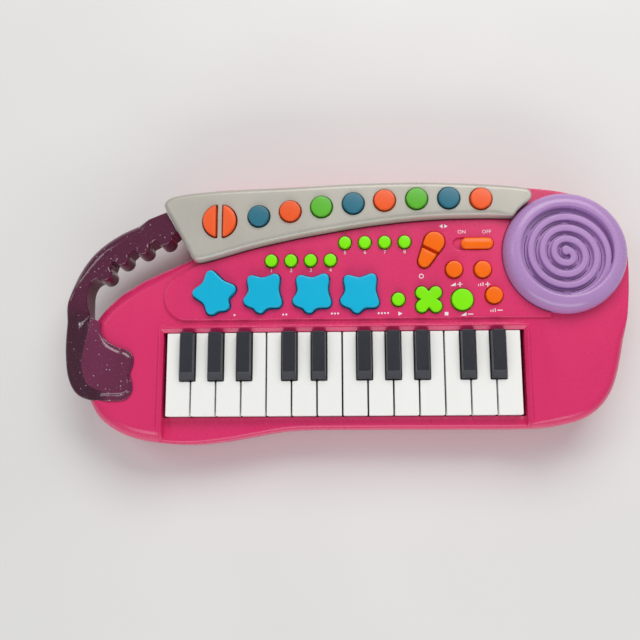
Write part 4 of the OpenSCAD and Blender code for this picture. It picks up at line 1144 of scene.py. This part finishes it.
# ---------------------------------------------------------------- turned buttons
def cap_profile(r, under, top, stem=26.6, edge=0.8, crown=0.16):
    p = [(0, stem), (1.4, stem), (1.7, stem + 0.3), (1.7, under - 1.6), (r + 1.0, under - 1.6), (r + 1.2, under - 1.4), (r + 1.2, under - 0.6), (r + 1.0, under - 0.4), (r, under - 0.4)]
    ze = top - crown
    p += [(r - edge + edge * math.cos(a), ze - edge + edge * math.sin(a)) for a in np.radians(np.linspace(0, 82, 8))]
    p += [(r * q, ze + crown * (1 - (r * q / (r - edge * 0.8)) ** 2)) for q in (0.7, 0.45, 0.22)] + [(0, top)]
    return p


def turned_button(node, c, r, material, slot, under=PANEL - WALL, top=PANEL + 2.8):
    s = Shape()
    s.lathe(c, cap_profile(r, under, top), 64)
    return finish_piece(node + "_cap", s.mesh(node + "_cap"), material, node, [node], sharp=50)


# the tone caps take the darker copies of the colours: painted shade
tone_mats = [(SHADED_TONE_BLUE, "cap_blue"), (SHADED_TONE_ORANGE, "cap_orange"), (SHADED_TONE_GREEN, "cap_green")]
for i, c in enumerate(tone_places):
    turned_button("tone_button_%d" % (i + 1), c, 6.4, *tone_mats[i % 3], under=ARCH - WALL, top=ARCH + 2.6)
turned_button("volume_up_button", VOL_UP, 5.05, ORANGE, "cap_orange")
turned_button("tempo_up_button", TEMPO_UP, 5.05, ORANGE, "cap_orange")
turned_button("tempo_down_button", TEMPO_DOWN, 5.1, ORANGE, "cap_orange")
turned_button("volume_down_button", VOL_DOWN, 6.5, GREEN, "cap_green")
turned_button("demo_button", DEMO, 3.95, GREEN, "cap_green")
for node, row in (("rhythm_strip_lower", lower_row), ("rhythm_strip_upper", upper_row)):
    s = Shape()
    for c in row:
        s.lathe(c, cap_profile(3.75, PANEL - WALL, PANEL + 2.8), 48)
    for a, b in zip(row, row[1:]):
        s.box(a[0] + 4.6, b[0] - 4.6, a[1] - 2.2, a[1] + 2.2, PANEL - WALL - 1.6, PANEL - WALL - 0.6, 0.2)
    finish_piece(node + "_caps", s.mesh(node + "_caps"), GREEN, node, [node], sharp=50)

# star pads
for i in range(4):
    s = Shape()
    s.moulding(star(i), PANEL - WALL - 1.0, PANEL + 3.9, 1.05, crown=0.25, h=0.95, n=6)
    s.moulding(star(i, 1.4), PANEL - WALL - 1.6, PANEL - WALL - 0.4, 0.3, n=2)
    s.lathe(star_places[i], [(0, 27.1), (1.9, 27.1), (2.2, 27.4), (2.2, PANEL - WALL - 1.2), (0, PANEL - WALL - 1.2)], 24)
    node = "star_pad_%d" % (i + 1)
    finish_piece(node + "_cap", s.mesh(node + "_cap"), BLUE, node, [node], sharp=50)

# clover
s = Shape()
s.moulding(clover(3.75), PANEL - WALL - 1.0, PANEL + 2.8, 0.95, crown=0.2, h=0.85, n=6)
s.moulding(clover(5.05), PANEL - WALL - 1.6, PANEL - WALL - 0.4, 0.3, n=2)
s.lathe(STOP, [(0, 26.6), (1.7, 26.6), (2.0, 26.9), (2.0, PANEL - WALL - 1.2), (0, PANEL - WALL - 1.2)], 24)
finish_piece("stop_button_cap", s.mesh("stop_button_cap"), GREEN, "stop_button", ["stop_button"], sharp=50)

# power slider
s = Shape()
s.moulding(even(pill(SLIDER, 19.8, 6.9), 0.6), PANEL - 0.9, PANEL + 3.0, 1.8, crown=0.3, h=1.4, n=6)
s.box(SLIDER[0] - 3, SLIDER[0] + 3, SLIDER[1] - 1.2, SLIDER[1] + 1.2, 25.2, PANEL - 0.5, 0.3)
s.box(SLIDER[0] - 4.5, SLIDER[0] + 4.5, SLIDER[1] - 3, SLIDER[1] + 3, PANEL - WALL - 1.8, PANEL - WALL - 0.4, 0.2)
finish_piece("power_slider_knob", s.mesh("power_slider_knob"), ORANGE, "power_slider", ["power_slider"], sharp=50)

# split disc on the bar
s = Shape()
for side in (1, -1):
    s.moulding(half_disc(10.3, 2.2, side), 41.2, ARCH + 2.4, 0.85, crown=0.2, n=6)
s.lathe(RECORD, [(0, 39.4), (9.3, 39.4), (9.6, 39.7), (9.6, 41.3), (9.3, 41.6), (0, 41.6)], 48)
for dx in (-6, 6):
    s.lathe(RECORD + (dx, 0), [(0, 27.0), (1.3, 27.0), (1.6, 27.3), (1.6, 39.6), (0, 39.6)], 20)
# the split disc's caps take the darker copy of the orange: painted shade
finish_piece("record_rocker_caps", s.mesh("record_rocker_caps"), SHADED_TONE_ORANGE, "record_rocker", ["record_rocker"], sharp=50)

# egg-shaped rocker
s = Shape()
for half in (1, -1):
    s.moulding(egg(-0.6, half, 0.95), 35.4, PANEL + 2.6, 0.8, crown=0.18, n=6)
s.moulding(egg(-0.8), 35.0, PANEL - 2.6, 0.3, n=2)
s.moulding(egg(0.9), 33.6, 35.2, 0.3, n=2)
for dy in (-8, 6):
    s.lathe(turned([(0, dy)], MODE, MODE_TURN)[0], [(0, 27.0), (1.1, 27.0), (1.4, 27.3), (1.4, 33.8), (0, 33.8)], 20)
finish_piece("mode_rocker_caps", s.mesh("mode_rocker_caps"), ORANGE, "mode_rocker", ["mode_rocker"], sharp=50)

# ---------------------------------------------------------------- printed marks on the panel
marks = Shape()
INK = PANEL + 0.03


def stamp(*loops):
    """Thin raised print of an outline, with holes if more outlines follow."""
    marks.plate(loops[0], loops[1:], INK)
    marks.plate(loops[0], loops[1:], PANEL - 0.02, False)
    for k, l in enumerate(loops):
        marks.wall(l, PANEL - 0.02, INK, k > 0)


def lettering(text, size, x, y):
    cu = bpy.data.curves.new("lettering", "FONT")
    cu.body, cu.size, cu.align_x, cu.align_y, cu.resolution_u = text, size, "CENTER", "CENTER", 4
    cu.extrude = 0.025
    o = bpy.data.objects.new("lettering", cu)
    me = bpy.data.meshes.new_from_object(o)
    v = np.array([tuple(q.co) for q in me.vertices]) + (x, y, PANEL + 0.005)
    marks.add(v, [tuple(q.vertices) for q in me.polygons])
    bpy.data.objects.remove(o)
    bpy.data.curves.remove(cu)
    bpy.data.meshes.remove(me)


for i in range(4):
    lettering(str(i + 1), 3.3, lower_row[i][0], 89.3)
    lettering(str(i + 5), 3.3, upper_row[i][0], 100.2)
lettering("ON", 3.2, 74.5, 112.3)
lettering("OFF", 3.2, 89.8, 112.2)
for i, (x, y) in enumerate(((-66.0, 61.6), (-35.0, 61.6), (-4.2, 61.9), (25.4, 61.8))):
    for k in range(i + 1):
        stamp(circle((x + (k - i / 2) * 1.9, y), 0.6, 20))


def sign(x, y, plus):
    a, b = 1.5, 0.3
    if plus:
        stamp(np.array([(-a, -b), (-b, -b), (-b, -a), (b, -a), (b, -b), (a, -b), (a, b), (b, b), (b, a), (-b, a), (-b, b), (-a, b)]) + (x, y))
    else:
        stamp(rect(x - a, x + a, y - b, y + b))


def wedge(x, y):
    stamp(np.array([(-1.7, -1.0), (1.7, -1.0), (1.7, 1.2)]) + (x, y))


def ticks(x, y):
    for k in range(3):
        stamp(rect(x - 1.6 + 1.35 * k, x - 1.1 + 1.35 * k, y - 1.0, y + 0.2 + 0.5 * k))


for (x, y), plus, icon in (((70.8, 79.2), True, wedge), ((87.6, 79.0), True, ticks), ((76.6, 60.6), False, wedge), ((94.4, 62.8), False, ticks)):
    icon(x - 2.6, y)
    sign(x + 1.6, y, plus)
stamp(np.array([(-1.1, -1.3), (1.4, 0.0), (-1.1, 1.3)]) + (35.6, 61.4))
stamp(rect(62.6, 64.8, 59.9, 62.1, 0.2))
stamp(circle((49.0, 84.6), 1.5, 32), circle((49.0, 84.6), 1.0, 32))
for k in (-1, 1):
    stamp((np.array([(0.5, -1.3), (2.6, 0.0), (0.5, 1.3)]) * (k, 1))[::k] + (63.4, 116.2))
finish_piece("panel_print", marks.mesh("panel_print", weld=0.0005, tidy=False), PRINT, "case", sharp=30, weighted=False)

# ---------------------------------------------------------------- stage, light and camera
me = bpy.data.meshes.new("floor")
me.from_pydata([(-3, -3, 0), (3, -3, 0), (3, 3, 0), (-3, 3, 0)], [], [(0, 1, 2, 3)])
floor = bpy.data.objects.new("floor", me)
bpy.context.scene.collection.objects.link(floor)
a = Mat("pale_floor")
a.to("Base Color", a.ramp(a.noise(6.0, 2.0), [(0.3, (0.78, 0.77, 0.76)), (0.7, (0.82, 0.81, 0.8))]))
a.set(Roughness=0.75)
me.materials.append(a.m)


def area(name, place, target, size, energy, colour=(1, 1, 1)):
    d = bpy.data.lights.new(name, "AREA")
    d.shape, d.size, d.size_y, d.energy, d.color = "RECTANGLE", size[0], size[1], energy, colour
    o = bpy.data.objects.new(name, d)
    o.location = place
    o.rotation_euler = (Vector(target) - Vector(place)).to_track_quat("-Z", "Y").to_euler()
    bpy.context.scene.collection.objects.link(o)


area("key_light", (0.2, 0.75, 0.84), (0, 0.02, 0.03), (1.0, 0.6), 8.6, (1.0, 0.985, 0.96))
area("front_light", (0.0, -1.0, 0.5), (0, 0, 0.03), (1.6, 0.5), 7.4, (0.98, 0.99, 1.0))
area("left_light", (-0.75, 0.4, 0.95), (0, 0.02, 0.03), (0.35, 0.35), 1.2, (0.97, 0.985, 1.0))
world = bpy.data.worlds.new("studio")
bpy.context.scene.world = world
world.use_nodes = True
bg = world.node_tree.nodes["Background"]
bg.inputs[0].default_value = (0.9, 0.92, 0.95, 1)
bg.inputs[1].default_value = 0.32

cam_data = bpy.data.cameras.new("camera")
cam_data.lens, cam_data.sensor_width = 45.0, 36.0
cam_data.clip_start, cam_data.clip_end = 0.01, 20.0
cam = bpy.data.objects.new("camera", cam_data)
cam.location = (0.007027, -0.09386, 0.519986)
cam.rotation_euler = tuple(math.radians(x) for x in (10.238, 2.638, -0.160))
bpy.context.scene.collection.objects.link(cam)
bpy.context.scene.camera = cam
bpy.context.scene.view_settings.view_transform = "Standard"
